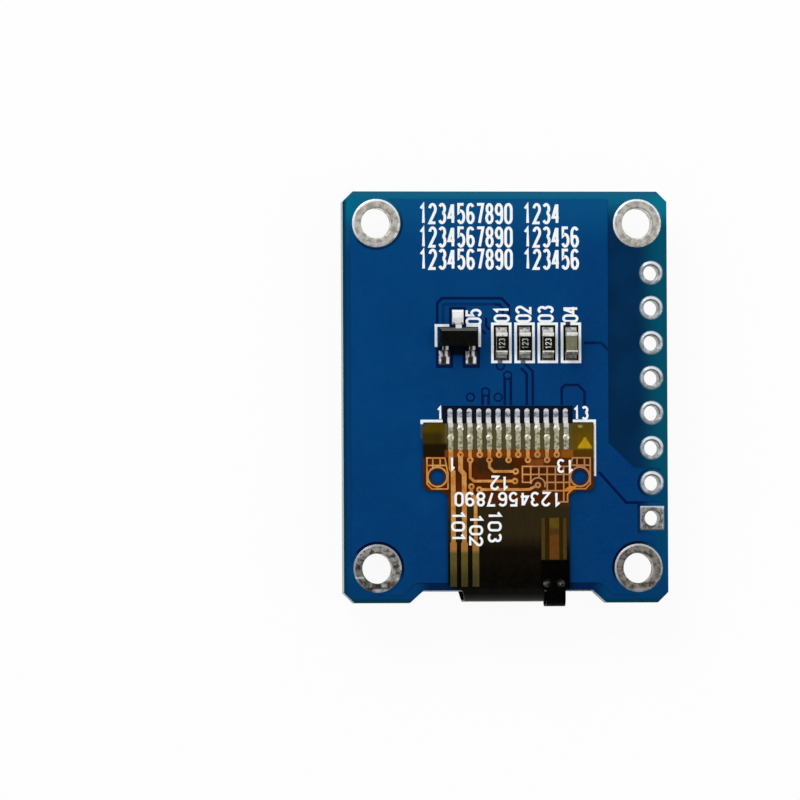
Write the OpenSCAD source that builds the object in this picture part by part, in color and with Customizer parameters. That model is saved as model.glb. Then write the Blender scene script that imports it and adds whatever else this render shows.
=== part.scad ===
// Small colour display module: a display cell with its backlight, taped to a drilled carrier board.
// The module lies on the display's face. X runs across the board, Y along it, and Z points out of
// the component face. The origin is the centre of the mounting holes, on the display's face.

/* [Circuit board] */
// Width of the board across X
board_w = 23.6; // [22:0.1:28]
// Height of the board along Y
board_h = 29.8; // [28:0.1:36]
// Thickness of the laminate
board_t = 1.6; // [0.8:0.1:2.4]
// Leg of the bevel at each corner of the board
corner_bevel = 0.75; // [0.2:0.05:1]
// Error of the routed outline against the drilled holes, across X
outline_shift_x = -0.14; // [-0.2:0.01:0.2]
// Error of the routed outline against the drilled holes, along Y
outline_shift_y = -0.1; // [-0.2:0.01:0.2]
// Width of the notch at its floor
notch_floor_w = 12.3; // [11:0.1:13]
// Width of the notch at the board's edge
notch_mouth_w = 14.3; // [13.2:0.1:15]
// Depth of the notch in the bottom edge
notch_depth = 0.9; // [0.4:0.05:1.4]

/* [Plated holes] */
// Distance of the mounting holes from the sides of the board
hole_margin_x = 2.3; // [2.1:0.05:2.8]
// Distance of the mounting holes from the top and bottom of the board
hole_margin_y = 2.4; // [2.1:0.05:3]
// Finished diameter of the mounting holes
hole_d = 2.2; // [1.6:0.1:2.6]
// Diameter of the tinned pad round a mounting hole
hole_pad_d = 3.5; // [3:0.1:3.7]
// Distance of the header column from the right side of the board
header_margin = 1.3; // [1.2:0.05:1.6]
// Distance between header holes
header_pitch = 2.54; // [2:0.01:2.6]
// Finished diameter of the header holes
header_hole_d = 1.1; // [0.8:0.05:1.2]
// Diameter of the tinned pad round a header hole
header_pad_d = 1.75; // [1.5:0.05:1.8]
// Wall of the plating in a hole
plating_t = 0.05; // [0.03:0.01:0.08]
// Width of the sloping tin at the outer edge of a pad
pad_shoulder = 0.16; // [0.05:0.01:0.2]
// Width of the sloping tin at the mouth of a hole
hole_mouth = 0.1; // [0.09:0.005:0.12]

/* [Copper and print] */
// Thickness of the copper under the mask
copper_t = 0.035; // [0.018:0.001:0.05]
// Thickness of the tin on bare copper
tin_t = 0.025; // [0.022:0.001:0.04]
// Distance of the copper pour from the edge of the board
pour_inset = 0.55; // [0.3:0.05:0.9]
// Gap between the pour and a pad or land
pour_gap = 0.2; // [0.1:0.01:0.3]
// Width of a track under the mask
track_w = 0.24; // [0.15:0.01:0.3]
// Distance of the pour's right edge from the header column
pour_to_header = 3.15; // [2.5:0.05:3.6]
// Thickness of the printed legend
print_t = 0.02; // [0.01:0.001:0.022]
// Width of a printed line
print_w = 0.19; // [0.12:0.01:0.22]
// Gap from the film's side to the middle of a printed bracket
bracket_gap = 0.08; // [0.05:0.01:0.3]
// Error of the printed brackets against the film, across X
bracket_shift_x = 0; // [-0.1:0.01:0.1]
// Length of the printed bracket at the film's left side
left_bracket_l = 1.3; // [1:0.1:4]
// Length of the printed bracket at the film's right side
right_bracket_l = 4; // [1:0.1:4.4]

/* [Chips] */
// Distance between neighbouring chips
chip_pitch = 1.69; // [1.6:0.01:1.9]
// Centre of the row of chips across X
chip_row_x = 2.1; // [2:0.05:2.5]
// Height of the row of chips above the flexible circuit's end
chip_row_rise = 5.66; // [5.4:0.05:6.5]
// Length of a chip along Y
chip_l = 1.6; // [1.4:0.05:1.7]
// Width of a chip
chip_w = 0.82; // [0.7:0.01:0.9]
// Height of a resistor
resistor_t = 0.45; // [0.35:0.01:0.6]
// Height of the capacitor
capacitor_t = 0.8; // [0.5:0.01:0.9]
// Length of an end cap
cap_l = 0.28; // [0.25:0.01:0.42]
// Wall of an end cap
cap_wall = 0.03; // [0.02:0.005:0.05]
// Thickness of a resistor's black glaze
coat_t = 0.03; // [0.02:0.005:0.05]
// Length of land that shows past each end of a chip
land_toe = 0.4; // [0.3:0.01:0.42]
// Distance of the chips below the middle of their printed frames
chip_drop = 0.06; // [0:0.01:0.06]
// Width of the printed frame round a chip, to the middle of its line
chip_frame_w = 1.3; // [1.2:0.01:1.35]
// Length of the printed frame round a chip, to the middle of its line
chip_frame_l = 2.76; // [2.72:0.01:3]

/* [Transistor] */
// Centre of the transistor across X
transistor_x = -3.6; // [-3.8:0.05:-3.2]
// Height of the transistor's centre above the flexible circuit's end
transistor_rise = 6.05; // [5.9:0.05:6.6]
// Length of the transistor's body across X
transistor_w = 2.8; // [2.7:0.05:3.1]
// Width of the transistor's body along Y
transistor_l = 1.36; // [1.2:0.01:1.5]
// Height of the transistor's body
transistor_t = 1; // [0.8:0.05:1.1]
// Gap under the transistor's body
transistor_standoff = 0.06; // [0.02:0.01:0.1]
// Width of the bevel along the body's upper edge, on the side of the single lead
transistor_bevel = 0.12; // [0.05:0.01:0.2]
// Distance between the transistor's two lower leads
lead_pitch = 1.95; // [1.8:0.05:2.1]
// Width of a lead
lead_w = 0.44; // [0.35:0.01:0.5]
// Thickness of a lead
lead_t = 0.13; // [0.08:0.01:0.16]
// Reach of a lead from the body to the end of its foot
lead_reach = 0.58; // [0.5:0.01:0.7]
// Width of a transistor land
lead_land_w = 0.84; // [0.6:0.01:0.9]
// Length of land that shows past the end of a foot
lead_land_toe = 0.75; // [0.4:0.01:0.8]

/* [Flexible circuit] */
// Thickness of the film
film_t = 0.12; // [0.08:0.01:0.16]
// Thickness of the copper and cover on the film
film_copper_t = 0.03; // [0.02:0.001:0.04]
// Error of the soldered film against its lands, across X
film_shift_x = 0.04; // [-0.1:0.01:0.1]
// Distance of the film's soldered end from the floor of the notch
film_l = 12.26; // [12:0.02:12.8]
// Distance of the film's soldered end inside the display's sides
film_margin = 0.54; // [0.5:0.01:0.8]
// Length trimmed off the film's soldered end
film_trim = 0.18; // [0.12:0.01:0.3]
// Radius of the round corner at the left of the film's soldered end
film_corner_r = 0.4; // [0.2:0.05:0.8]
// Width of the film below its ears
film_waist_w = 8.85; // [8.7:0.05:9.2]
// Length of the wide end, down to the ears' lower edge
ear_l = 5.06; // [4.8:0.02:5.2]
// Radius of the ears' outer corners
ear_r = 0.45; // [0.3:0.05:1]
// Distance of the alignment holes from the film's sides
align_margin = 1.02; // [0.8:0.01:1.1]
// Diameter of an alignment hole
align_d = 1.06; // [0.8:0.02:1.2]
// Distance between neighbouring fingers
finger_pitch = 0.7; // [0.66:0.005:0.72]
// Width of a finger
finger_w = 0.36; // [0.25:0.01:0.4]
// Length of a bare finger
finger_l = 2.07; // [1.8:0.01:2.2]
// Length of land that shows past the film's end
land_show = 0.9; // [0.6:0.02:1.1]
// Left end of the neck that goes round the board
neck_left = -3.35; // [-4:0.05:-3]
// Right end of the neck that goes round the board
neck_right = 2.6; // [2.3:0.05:2.7]
// Reach of the fold past the floor of the notch
fold_reach = 0.79; // [0.6:0.01:1]
// Outer radius of the fold
fold_r = 0.74; // [0.4:0.01:0.9]

/* [Backlight tail] */
// Thickness of the tail's film
tail_t = 0.1; // [0.06:0.01:0.14]
// Centre of the tail across X
tail_x = 3.44; // [3.4:0.01:3.5]
// Width of the tail where it goes round the board
tail_w = 1.4; // [1.2:0.02:1.52]
// Width of the tail's soldered end
tail_end_w = 2; // [1.7:0.02:2.04]
// Length of the tail's soldered end
tail_end_l = 2; // [1.6:0.05:2.4]
// Height of the soldered end's lower edge above the film's bend
tail_rise = 0.2; // [0.1:0.02:0.4]
// Reach of the tail's fold past the floor of the notch
tail_reach = 1.15; // [1.1:0.01:1.3]
// Outer radius of the tail's fold
tail_r = 0.55; // [0.3:0.01:0.6]

/* [Display] */
// Width of the display
display_w = 13.5; // [13:0.1:14]
// Length of the display
display_l = 27.95; // [26:0.05:29]
// Distance of the display's end past the floor of the notch
display_overhang = 0.05; // [-0.2:0.01:0.2]
// Thickness of a polarizer
polarizer_t = 0.13; // [0.1:0.01:0.2]
// Thickness of one sheet of glass
glass_t = 0.25; // [0.2:0.01:0.4]
// Distance of the glass from the outside of the backlight
glass_inset = 0.1; // [0.05:0.01:0.3]
// Distance of the polarizers from the edge of the glass
polarizer_inset = 0.3; // [0.1:0.01:0.5]
// Length of rear glass left bare at the contact end
ledge_l = 2.3; // [2.1:0.05:3]
// Length of film bonded under the ledge
bond_l = 0.8; // [0.5:0.05:0.9]
// Length of the driver chip across X
driver_w = 9.2; // [7:0.1:10.5]
// Width of the driver chip along Y
driver_l = 0.75; // [0.6:0.01:0.8]
// Thickness of the driver chip
driver_t = 0.2; // [0.12:0.01:0.3]

/* [Backlight] */
// Thickness of the tape between cell and backlight
rim_tape_t = 0.06; // [0.04:0.01:0.1]
// Width of that tape along the sides
rim_tape_w = 1.1; // [0.9:0.05:1.2]
// Thickness of the backlight's frame
frame_t = 0.62; // [0.56:0.01:0.8]
// Wall of the backlight's frame
frame_wall = 0.6; // [0.4:0.05:0.7]
// Length of the bay for the lamps
lamp_bay_l = 1.5; // [1.3:0.05:2]
// Thickness of one film in the backlight
sheet_t = 0.05; // [0.03:0.005:0.06]
// Thickness of the reflector
reflector_t = 0.06; // [0.04:0.01:0.1]
// Gap between the frame and what lies in it
frame_fit = 0.05; // [0.02:0.01:0.1]
// Length of a lamp across X
lamp_w = 2.6; // [2:0.1:2.8]
// Width of a lamp along Y
lamp_l = 0.8; // [0.6:0.05:1]
// Distance between the two lamps
lamp_span = 4.6; // [3:0.1:5]
// Length of the lamps' strip past the outer ends of the lamps
lamp_strip_margin = 0.7; // [0.3:0.05:1]
// Thickness of the tape under the board
mount_tape_t = 0.2; // [0.1:0.01:0.4]
// Distance of that tape from the edges of the display
mount_tape_inset = 0.8; // [0.4:0.05:1.5]

/* [Hidden] */
$fn = 48;
header_count = 8;
finger_count = 13;
chip_count = 4;
via_sides = 12;
cut_over = 1;
join_over = 0.1;

// Levels up from the display's face
front_glass_z = polarizer_t;
rear_glass_z = front_glass_z + glass_t;
rear_polarizer_z = rear_glass_z + glass_t;
rim_tape_z = rear_polarizer_z + polarizer_t;
backlight_z = rim_tape_z + rim_tape_t;
reflector_z = backlight_z + frame_t;
mount_tape_z = reflector_z + reflector_t;
board_z = mount_tape_z + mount_tape_t;
face_z = board_z + board_t;
copper_z = face_z + copper_t;
land_t = copper_t + tin_t;
mouth_drop = 0.03;
land_z = face_z + land_t;
film_z = land_z + film_t;
film_copper_z = film_z + film_copper_t;
tail_z = film_copper_z + tail_t;

// Widths on the film
film_w = display_w - 2 * film_margin;
align_span = film_w - 2 * align_margin;

// Outline of the board
left_x = -board_w / 2 + outline_shift_x;
right_x = board_w / 2 + outline_shift_x;
bottom_y = -board_h / 2 + outline_shift_y;
top_y = board_h / 2 + outline_shift_y;
notch_y = bottom_y + notch_depth;

// Places on the board
hole_x = board_w / 2 - hole_margin_x;
hole_y = board_h / 2 - hole_margin_y;
header_x = board_w / 2 - header_margin;
pour_right_x = header_x - pour_to_header;
film_end_y = notch_y + film_l;
chip_row_y = film_end_y + chip_row_rise;
transistor_y = film_end_y + transistor_rise;
fold_y = notch_y - fold_reach;
tail_fold_y = notch_y - tail_reach;
tail_top_y = fold_y + fold_r + tail_rise + tail_end_l;

// Outline of the display
display_y = notch_y - display_overhang;
display_top_y = display_y + display_l;
glass_y = display_y + glass_inset;
glass_top_y = display_top_y - glass_inset;
glass_half = display_w / 2 - glass_inset;
ledge_y = glass_y + ledge_l;
bay_y = display_y + frame_wall;
guide_y = bay_y + lamp_bay_l;

function header_y(i) = (i - (header_count - 1) / 2) * header_pitch;
function finger_x(i) = (i - (finger_count - 1) / 2) * finger_pitch;
function chip_x(i) = chip_row_x + (i - (chip_count - 1) / 2) * chip_pitch;

// A point on the film, as its distance from the film's middle and down from its soldered end
function on_film(p) = [film_shift_x + p[0], film_end_y - p[1]];

// A point on the board, across from the middle and up from the film's soldered end
function on_board(p) = [p[0], film_end_y + p[1]];

// Outline of a track of width w along the points p, with mitred corners
function unit(v) = v / norm(v);
function across(v) = [-v[1], v[0]];
function leg_side(p, i) = across(unit(p[i + 1] - p[i]));
function corner(p, i, w) =
    let (last = len(p) - 1)
    let (before = leg_side(p, max(i - 1, 0)))
    let (after = leg_side(p, min(i, last - 1)))
    (before + after) / (1 + before * after) * w / 2;
function track_outline(p, w) = concat(
    [for (i = [0 : len(p) - 1]) p[i] + corner(p, i, w)],
    [for (i = [len(p) - 1 : -1 : 0]) p[i] - corner(p, i, w)]);

// Outline of the board, drawn in by a distance
function board_outline(inset) =
    let (x0 = left_x + inset, x1 = right_x - inset)
    let (y0 = bottom_y + inset, y1 = top_y - inset)
    let (floor_half = notch_floor_w / 2 + inset, mouth_half = notch_mouth_w / 2 + inset)
    let (b = corner_bevel)
    [[x0 + b, y0], [-mouth_half, y0], [-floor_half, notch_y + inset], [floor_half, notch_y + inset],
     [mouth_half, y0], [x1 - b, y0], [x1, y0 + b], [x1, y1 - b], [x1 - b, y1], [x0 + b, y1],
     [x0, y1 - b], [x0, y0 + b]];

// A flat slab between two corners
module slab(from, to, z, t) {
    translate([from[0], from[1], z])
        cube([to[0] - from[0], to[1] - from[1], t]);
}

// A frame-shaped sheet: a slab with a window in it
module sheet_frame(from, to, window_from, window_to, z, t) {
    difference() {
        slab(from, to, z, t);
        slab(window_from, window_to, z - cut_over, t + 2 * cut_over);
    }
}

module track(p, w) {
    polygon(track_outline(p, w));
}

module ring(at, outer_d, inner_d) {
    translate(at)
        difference() {
            circle(d = outer_d);
            circle(d = inner_d);
        }
}

module at_mounting_holes() {
    for (x = [-hole_x, hole_x], y = [-hole_y, hole_y])
        translate([x, y, 0])
            children();
}

module at_header_holes(first, last) {
    for (i = [first : last])
        translate([header_x, header_y(i), 0])
            children();
}

// Circuit board

module printed_board() {
    color([0.0, 0.16, 0.32])
        difference() {
            translate([0, 0, board_z])
                linear_extrude(board_t)
                    polygon(board_outline(0));
            at_mounting_holes()
                translate([0, 0, board_z - cut_over])
                    cylinder(d = hole_d + 2 * plating_t, h = board_t + 2 * cut_over);
            at_header_holes(0, header_count - 1)
                translate([0, 0, board_z - cut_over])
                    cylinder(d = header_hole_d + 2 * plating_t, h = board_t + 2 * cut_over);
        }
}

// Tracks under the mask: points across from the middle and up from the film's soldered end
tracks = [
    [[-4.87, 6.94], [-4.87, 8.45], [-4.65, 8.67], [-0.5, 8.67], [-0.1, 8.27], [-0.1, 7.4]],
    [[-1.42, 6.45], [-1.75, 6.78], [-1.75, 7.5]],
    [[1.15, 3.98], [1.62, 3.5], [1.62, 1.15]],
    [[0.02, 3.15], [0.02, 1.15]],
    [[-1.6, 2], [-1.6, 1.15]]];

// Clearances cut straight into the pour
clearances = [
    [[3.95, 1.15], [3.95, 2.35], [4.2, 2.6], [5.15, 2.6], [5.62, 2.1], [5.62, 1.15]],
    [[5.6, 5.65], [6.83, 5.65], [7.5, 5]],
    [[6.62, -3.7], [8.62, -5.94], [11.4, -5.94]]];

// Vias under the mask
via_spots = [[-0.5, 4], [0.02, 3.3], [-2.7, 1.72], [-1.6, 2.1], [-0.68, 1.72]];
via_land_d = 0.45;
via_clear_d = 0.7;

// Where the pour steps out to the right below the header's tracks, up from the film's soldered end
pour_step_y = -1.6;
pour_foot_y = -3.4;
pour_step_run = 1.85;

module pour_openings() {
    for (x = [-hole_x, hole_x], y = [-hole_y, hole_y])
        translate([x, y]) {
            circle(d = hole_pad_d + 2 * pour_gap);
            mirror([x < 0 ? 1 : 0, 0])
                mirror([0, y < 0 ? 1 : 0])
                    square([board_w, board_h]);
        }
    for (i = [0 : header_count - 1])
        translate([header_x, header_y(i)])
            if (i == 0)
                square(header_pad_d + 2 * pour_gap, center = true);
            else
                circle(d = header_pad_d + 2 * pour_gap);
    for (i = [0 : chip_count - 1])
        translate([chip_x(i) - (chip_frame_w - print_w) / 2, chip_row_y - (chip_frame_l - print_w) / 2])
            square([chip_frame_w - print_w, chip_frame_l - print_w]);
    translate([-finger_count * finger_pitch / 2 - pour_gap, film_end_y - finger_l - pour_gap])
        square([finger_count * finger_pitch + 2 * pour_gap, finger_l + land_show + 2 * pour_gap]);
    for (lead = lead_feet())
        lead_land(lead, pour_gap);
    translate([pour_right_x, film_end_y + pour_step_y])
        square([board_w, board_h]);
    polygon([on_board([pour_right_x, pour_step_y]), on_board([pour_right_x + pour_step_run, pour_foot_y]),
        on_board([board_w, pour_foot_y]), on_board([board_w, pour_step_y])]);
}

module back_copper() {
    color([0.0, 0.24, 0.46])
        translate([0, 0, face_z])
            linear_extrude(copper_t)
                difference() {
                    polygon(board_outline(pour_inset));
                    pour_openings();
                    for (p = tracks)
                        difference() {
                            track([for (q = p) on_board(q)], track_w + 2 * pour_gap);
                            track([for (q = p) on_board(q)], track_w);
                        }
                    for (p = clearances)
                        track([for (q = p) on_board(q)], pour_gap);
                    for (p = via_spots)
                        ring(on_board(p), via_clear_d, via_land_d, $fn = via_sides);
                }
}

// A plated hole: a barrel through the board with a tinned pad on each face
module plated_hole(hole, pad) {
    bore_r = hole / 2;
    pad_r = pad / 2;
    shoulder = min(pad_shoulder, (pad_r - bore_r) / 2);
    back_z = board_z - land_t;
    rotate_extrude()
        polygon([[bore_r, board_z + mouth_drop], [bore_r + hole_mouth, back_z], [pad_r - shoulder, back_z],
            [pad_r, board_z], [bore_r + plating_t, board_z], [bore_r + plating_t, face_z],
            [pad_r, face_z], [pad_r - shoulder, land_z], [bore_r + hole_mouth, land_z],
            [bore_r, face_z - mouth_drop]]);
}

module mounting_pads() {
    color([0.78, 0.76, 0.74])
        at_mounting_holes()
            plated_hole(hole_d, hole_pad_d);
}

// Section of a square pad with sloping edges
module pad_section() {
    half = header_pad_d / 2;
    shoulder = min(pad_shoulder, (header_pad_d - header_hole_d) / 4);
    polygon([[-half, 0], [half, 0], [half - shoulder, land_t], [-half + shoulder, land_t]]);
}

module square_pad() {
    intersection() {
        along_x(-header_pad_d, header_pad_d)
            pad_section();
        rotate(90)
            along_x(-header_pad_d, header_pad_d)
                pad_section();
    }
}

// The first header hole, at the bottom, has a square pad on both faces
module square_plated_hole() {
    difference() {
        union() {
            translate([0, 0, board_z])
                cylinder(d = header_hole_d + 2 * plating_t, h = board_t);
            translate([0, 0, face_z])
                square_pad();
            translate([0, 0, board_z])
                mirror([0, 0, 1])
                    square_pad();
        }
        translate([0, 0, board_z - cut_over])
            cylinder(d = header_hole_d, h = board_t + 2 * cut_over);
    }
}

module header_pads() {
    color([0.80, 0.79, 0.78]) {
        at_header_holes(0, 0)
            square_plated_hole();
        at_header_holes(1, header_count - 1)
            plated_hole(header_hole_d, header_pad_d);
    }
}

module flex_lands() {
    color([0.80, 0.79, 0.80])
        for (i = [0 : finger_count - 1])
            translate([finger_x(i), film_end_y, face_z])
                linear_extrude(land_t)
                    union() {
                        translate([-finger_w / 2, -finger_l])
                            square([finger_w, finger_l + land_show - finger_w / 2]);
                        translate([0, land_show - finger_w / 2])
                            circle(d = finger_w);
                    }
}

module component_lands() {
    color([0.78, 0.76, 0.72]) {
        for (i = [0 : chip_count - 1], end = [-1, 1])
            at_chip(i)
                toward_end(end)
                    slab([-chip_w / 2, chip_l / 2 - cap_l], [chip_w / 2, chip_l / 2 + land_toe],
                        face_z, land_t);
        translate([0, 0, face_z])
            linear_extrude(land_t)
                for (lead = lead_feet())
                    lead_land(lead, 0);
    }
}

// Turns a shape to the other end of a chip
module toward_end(end) {
    if (end > 0)
        children();
    else
        mirror([0, 1, 0])
            children();
}

// Printed legend: frames round the chips, brackets round the transistor and the film

module printed_frame(w, l) {
    difference() {
        translate([-(w + print_w) / 2, -(l + print_w) / 2])
            square([w + print_w, l + print_w]);
        translate([-(w - print_w) / 2, -(l - print_w) / 2])
            square([w - print_w, l - print_w]);
    }
}

module transistor_brackets() {
    half = transistor_w / 2 + print_w;
    top = transistor_y + transistor_l / 2 + print_w;
    for (side = [-1, 1])
        track([[transistor_x + side * (lead_land_w / 2 + pour_gap), top],
            [transistor_x + side * half, top],
            [transistor_x + side * half, top - transistor_l - print_w]], print_w);
}

module film_brackets() {
    half = film_w / 2 + bracket_gap;
    middle = film_shift_x + bracket_shift_x;
    inner = (finger_count * finger_pitch) / 2 + print_w;
    top = film_end_y;
    track([[-inner, top], [middle - half, top], [middle - half, top - left_bracket_l]], print_w);
    track([[inner, top], [middle + half, top], [middle + half, top - right_bracket_l]], print_w);
}

module legend_print() {
    color([0.93, 0.96, 0.97])
        translate([0, 0, copper_z])
            linear_extrude(print_t) {
                for (i = [0 : chip_count - 1])
                    translate([chip_x(i), chip_row_y])
                        printed_frame(chip_frame_w, chip_frame_l);
                transistor_brackets();
                film_brackets();
            }
}

// Chips: a ceramic block in two tinned end caps

module chip_block(t) {
    translate([-chip_w / 2 + cap_wall, -chip_l / 2 + cap_wall, land_z + cap_wall])
        cube([chip_w - 2 * cap_wall, chip_l - 2 * cap_wall, t - 2 * cap_wall]);
}

module chip_caps(t) {
    for (end = [-1, 1])
        difference() {
            toward_end(end)
                slab([-chip_w / 2, chip_l / 2 - cap_l], [chip_w / 2, chip_l / 2], land_z, t);
            chip_block(t);
        }
}

module at_chip(i) {
    translate([chip_x(i), chip_row_y - chip_drop, 0])
        children();
}

module resistor_chip(i) {
    color([0.90, 0.89, 0.85])
        at_chip(i)
            chip_block(resistor_t);
}

module resistor_coat(i) {
    color([0.05, 0.05, 0.05])
        at_chip(i)
            slab([-chip_w / 2 + cap_wall, -chip_l / 2 + cap_l], [chip_w / 2 - cap_wall, chip_l / 2 - cap_l],
                land_z + resistor_t - cap_wall, coat_t);
}

module resistor_caps(i) {
    color([0.72, 0.70, 0.64])
        at_chip(i)
            chip_caps(resistor_t);
}

module capacitor_chip() {
    color([0.50, 0.46, 0.33])
        at_chip(chip_count - 1)
            chip_block(capacitor_t);
}

module capacitor_caps() {
    color([0.68, 0.65, 0.60])
        at_chip(chip_count - 1)
            chip_caps(capacitor_t);
}

// Solder fillet in section: from the foot of a wall out along the land
module fillet_section(run, rise) {
    polygon([[0, 0], [run, 0], [run * 0.62, rise * 0.12], [run * 0.28, rise * 0.38],
        [run * 0.1, rise * 0.7], [0, rise]]);
}

// A fillet along X that leans on a wall at y = 0
module fillet(w, run, rise) {
    translate([-w / 2, 0, 0])
        rotate([90, 0, 90])
            linear_extrude(w)
                fillet_section(run, rise);
}

module chip_solder() {
    color([0.74, 0.72, 0.68])
        for (i = [0 : chip_count - 1], end = [-1, 1])
            at_chip(i)
                toward_end(end)
                    translate([0, chip_l / 2, land_z])
                        fillet(chip_w * 0.94, land_toe * 0.95,
                            (i == chip_count - 1 ? capacitor_t : resistor_t) * 0.8);
}

// Transistor: moulded body with drafted sides, three formed leads

draft = 0.12;
lead_heel = 0.48;
solder_lip = 0.1;
solder_crest = 0.15;
lead_exit = transistor_standoff + transistor_t * 0.5;

// Each foot as its place across X and the end of the body that it leaves, up or down
function lead_feet() = [[0, 1], [-lead_pitch / 2, -1], [lead_pitch / 2, -1]];

module lead_land(lead, grow) {
    inner = transistor_l / 2 + lead_reach * lead_heel;
    outer = transistor_l / 2 + lead_reach + lead_land_toe;
    low = lead[1] > 0 ? inner : -outer;
    translate([transistor_x + lead[0] - lead_land_w / 2 - grow, transistor_y + low - grow])
        square([lead_land_w + 2 * grow, outer - inner + 2 * grow]);
}

// Section of the body: widest where the leads come out, with or without its bevel
module body_section(size, bevel) {
    half = size / 2;
    low = transistor_standoff;
    high = transistor_standoff + transistor_t;
    edge = half - draft;
    upper = bevel > 0 ? [[edge, high - bevel], [edge - bevel, high]] : [[edge, high]];
    polygon([[-half + draft / 2, low], [half - draft / 2, low], [half, lead_exit], each upper,
        [-edge, high], [-half, lead_exit]]);
}

module transistor_block() {
    translate([transistor_x, transistor_y, land_z])
        intersection() {
            translate([0, transistor_l, 0])
                rotate([90, 0, 0])
                    linear_extrude(2 * transistor_l)
                        body_section(transistor_w, 0);
            translate([-transistor_w, 0, 0])
                rotate([90, 0, 90])
                    linear_extrude(2 * transistor_w)
                        body_section(transistor_l, transistor_bevel);
        }
}

module transistor_body() {
    color([0.06, 0.06, 0.06])
        transistor_block();
}

// A formed lead in section: out of the body, down and along its land
module lead_section() {
    wall = transistor_l / 2;
    knee = wall + lead_reach * 0.3;
    heel = wall + lead_reach * lead_heel;
    toe = wall + lead_reach;
    polygon([[wall - draft, lead_exit], [knee - lead_t * 0.6, lead_exit], [heel - lead_t * 0.6, 0],
        [toe, 0], [toe, lead_t], [heel + lead_t * 0.4, lead_t], [knee + lead_t * 0.4, lead_exit + lead_t],
        [wall - draft, lead_exit + lead_t]]);
}

module lead_bars() {
    for (lead = lead_feet())
        translate([transistor_x + lead[0], transistor_y, land_z])
            toward_end(lead[1])
                translate([-lead_w / 2, 0, 0])
                    rotate([90, 0, 90])
                        linear_extrude(lead_w)
                            lead_section();
}

module transistor_leads() {
    color([0.80, 0.79, 0.77])
        difference() {
            lead_bars();
            transistor_block();
        }
}

// Solder on a transistor's land: a low bank round the foot that thins out towards the toe
module transistor_solder() {
    toe = transistor_l / 2 + lead_reach;
    end = toe + lead_land_toe * 0.94;
    heel = transistor_l / 2 + lead_reach * 0.7;
    bank = lead_t * 1.2;
    color([0.84, 0.84, 0.83])
        difference() {
            for (lead = lead_feet())
                translate([transistor_x + lead[0], transistor_y, land_z])
                    toward_end(lead[1])
                        translate([-lead_land_w * 0.47, 0, 0])
                            rotate([90, 0, 90])
                                linear_extrude(lead_land_w * 0.94)
                                    polygon([[heel, 0], [end, 0], [end - solder_lip, bank * 0.5],
                                        [toe + solder_crest, bank], [heel, bank * 0.8]]);
            lead_bars();
        }
}

// Folded strip: seen along X, flat at z_low, round a fold at y_out, flat again at z_top

module quarter_bend(r, t, turn) {
    rotate(turn)
        intersection() {
            difference() {
                circle(r = r);
                circle(r = r - t);
            }
            square([r, r]);
        }
}

module fold_section(y_out, y_low, y_top, z_low, z_top, r, t) {
    union() {
        translate([y_out + r, z_top - t])
            square([y_top - y_out - r, t]);
        translate([y_out + r, z_low])
            square([y_low - y_out - r, t]);
        translate([y_out, z_low + r])
            square([t, z_top - z_low - 2 * r]);
        translate([y_out + r, z_top - r])
            quarter_bend(r, t, 90);
        translate([y_out + r, z_low + r])
            quarter_bend(r, t, 180);
    }
}

module along_x(x0, x1) {
    translate([x0, 0, 0])
        rotate([90, 0, 90])
            linear_extrude(x1 - x0)
                children();
}

// Flexible circuit

align_y = 4.05;
neck_lean = 0.2;
neck_bevel = 0.5;
neck_step = 0.18;
ear_bevel = 0.5;
waist_drop = 0.32;
waist_y = ear_l + waist_drop;
bend_y = film_end_y - fold_y - fold_r;
waist_end_y = bend_y - neck_step;
film_half = film_w / 2;
waist_half = film_waist_w / 2;

module film_outline() {
    difference() {
        union() {
            polygon([for (p = [[-film_half, film_trim + film_corner_r],
                [-film_half + film_corner_r, film_trim], [film_half, film_trim], [film_half, ear_l - ear_r],
                [film_half - ear_r, ear_l], [waist_half + ear_bevel, ear_l], [waist_half, waist_y],
                [waist_half, waist_end_y], [neck_right - film_shift_x, waist_end_y],
                [neck_right - film_shift_x, bend_y], [neck_left - film_shift_x, bend_y],
                [-waist_half, bend_y - neck_bevel], [-waist_half, waist_y], [-waist_half - ear_bevel, ear_l],
                [-film_half + ear_r, ear_l], [-film_half, ear_l - ear_r]]) on_film(p)]);
            for (side = [-1, 1])
                translate(on_film([side * (film_half - ear_r), ear_l - ear_r]))
                    circle(r = ear_r);
            translate(on_film([film_corner_r - film_half, film_trim + film_corner_r]))
                circle(r = film_corner_r);
        }
        align_holes();
    }
}

module align_holes() {
    for (side = [-1, 1])
        translate(on_film([side * align_span / 2, align_y]))
            circle(d = align_d);
}

module flex_film() {
    bond_y = glass_y + bond_l;
    color([0.20, 0.13, 0.03])
        union() {
            translate([0, 0, land_z])
                linear_extrude(film_t)
                    film_outline();
            intersection() {
                along_x(neck_left, neck_right)
                    fold_section(fold_y, bond_y, fold_y + fold_r + join_over, rear_glass_z - film_t, film_z,
                        fold_r, film_t);
                linear_extrude(film_z)
                    polygon([[neck_left + neck_lean, fold_y - cut_over], [neck_right, fold_y - cut_over],
                        [neck_right, bond_y], [neck_left, bond_y], [neck_left, fold_y + fold_r],
                        [neck_left + neck_lean, fold_y]]);
            }
        }
}

// Copper on the film: points from the film's middle and down from its soldered end

wide_w = 0.34;
trace_w = 0.26;
line_w = 0.2;
thin_w = 0.11;
via_d = 0.48;
via_hole_d = 0.17;
via_exit = 0.15;
near_drop = 0.38;
far_drop = 0.76;
near_row = finger_l + near_drop;
far_row = finger_l + far_drop;

// Test strips at the lower left
strip_xs = [-4.04, -3.24, -2.42];
strip_w = 0.48;
strip_y = 8.8;
strip_margin = 0.26;
strip_end_y = film_l - strip_margin;
strip_join_y = strip_y + join_over;

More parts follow.
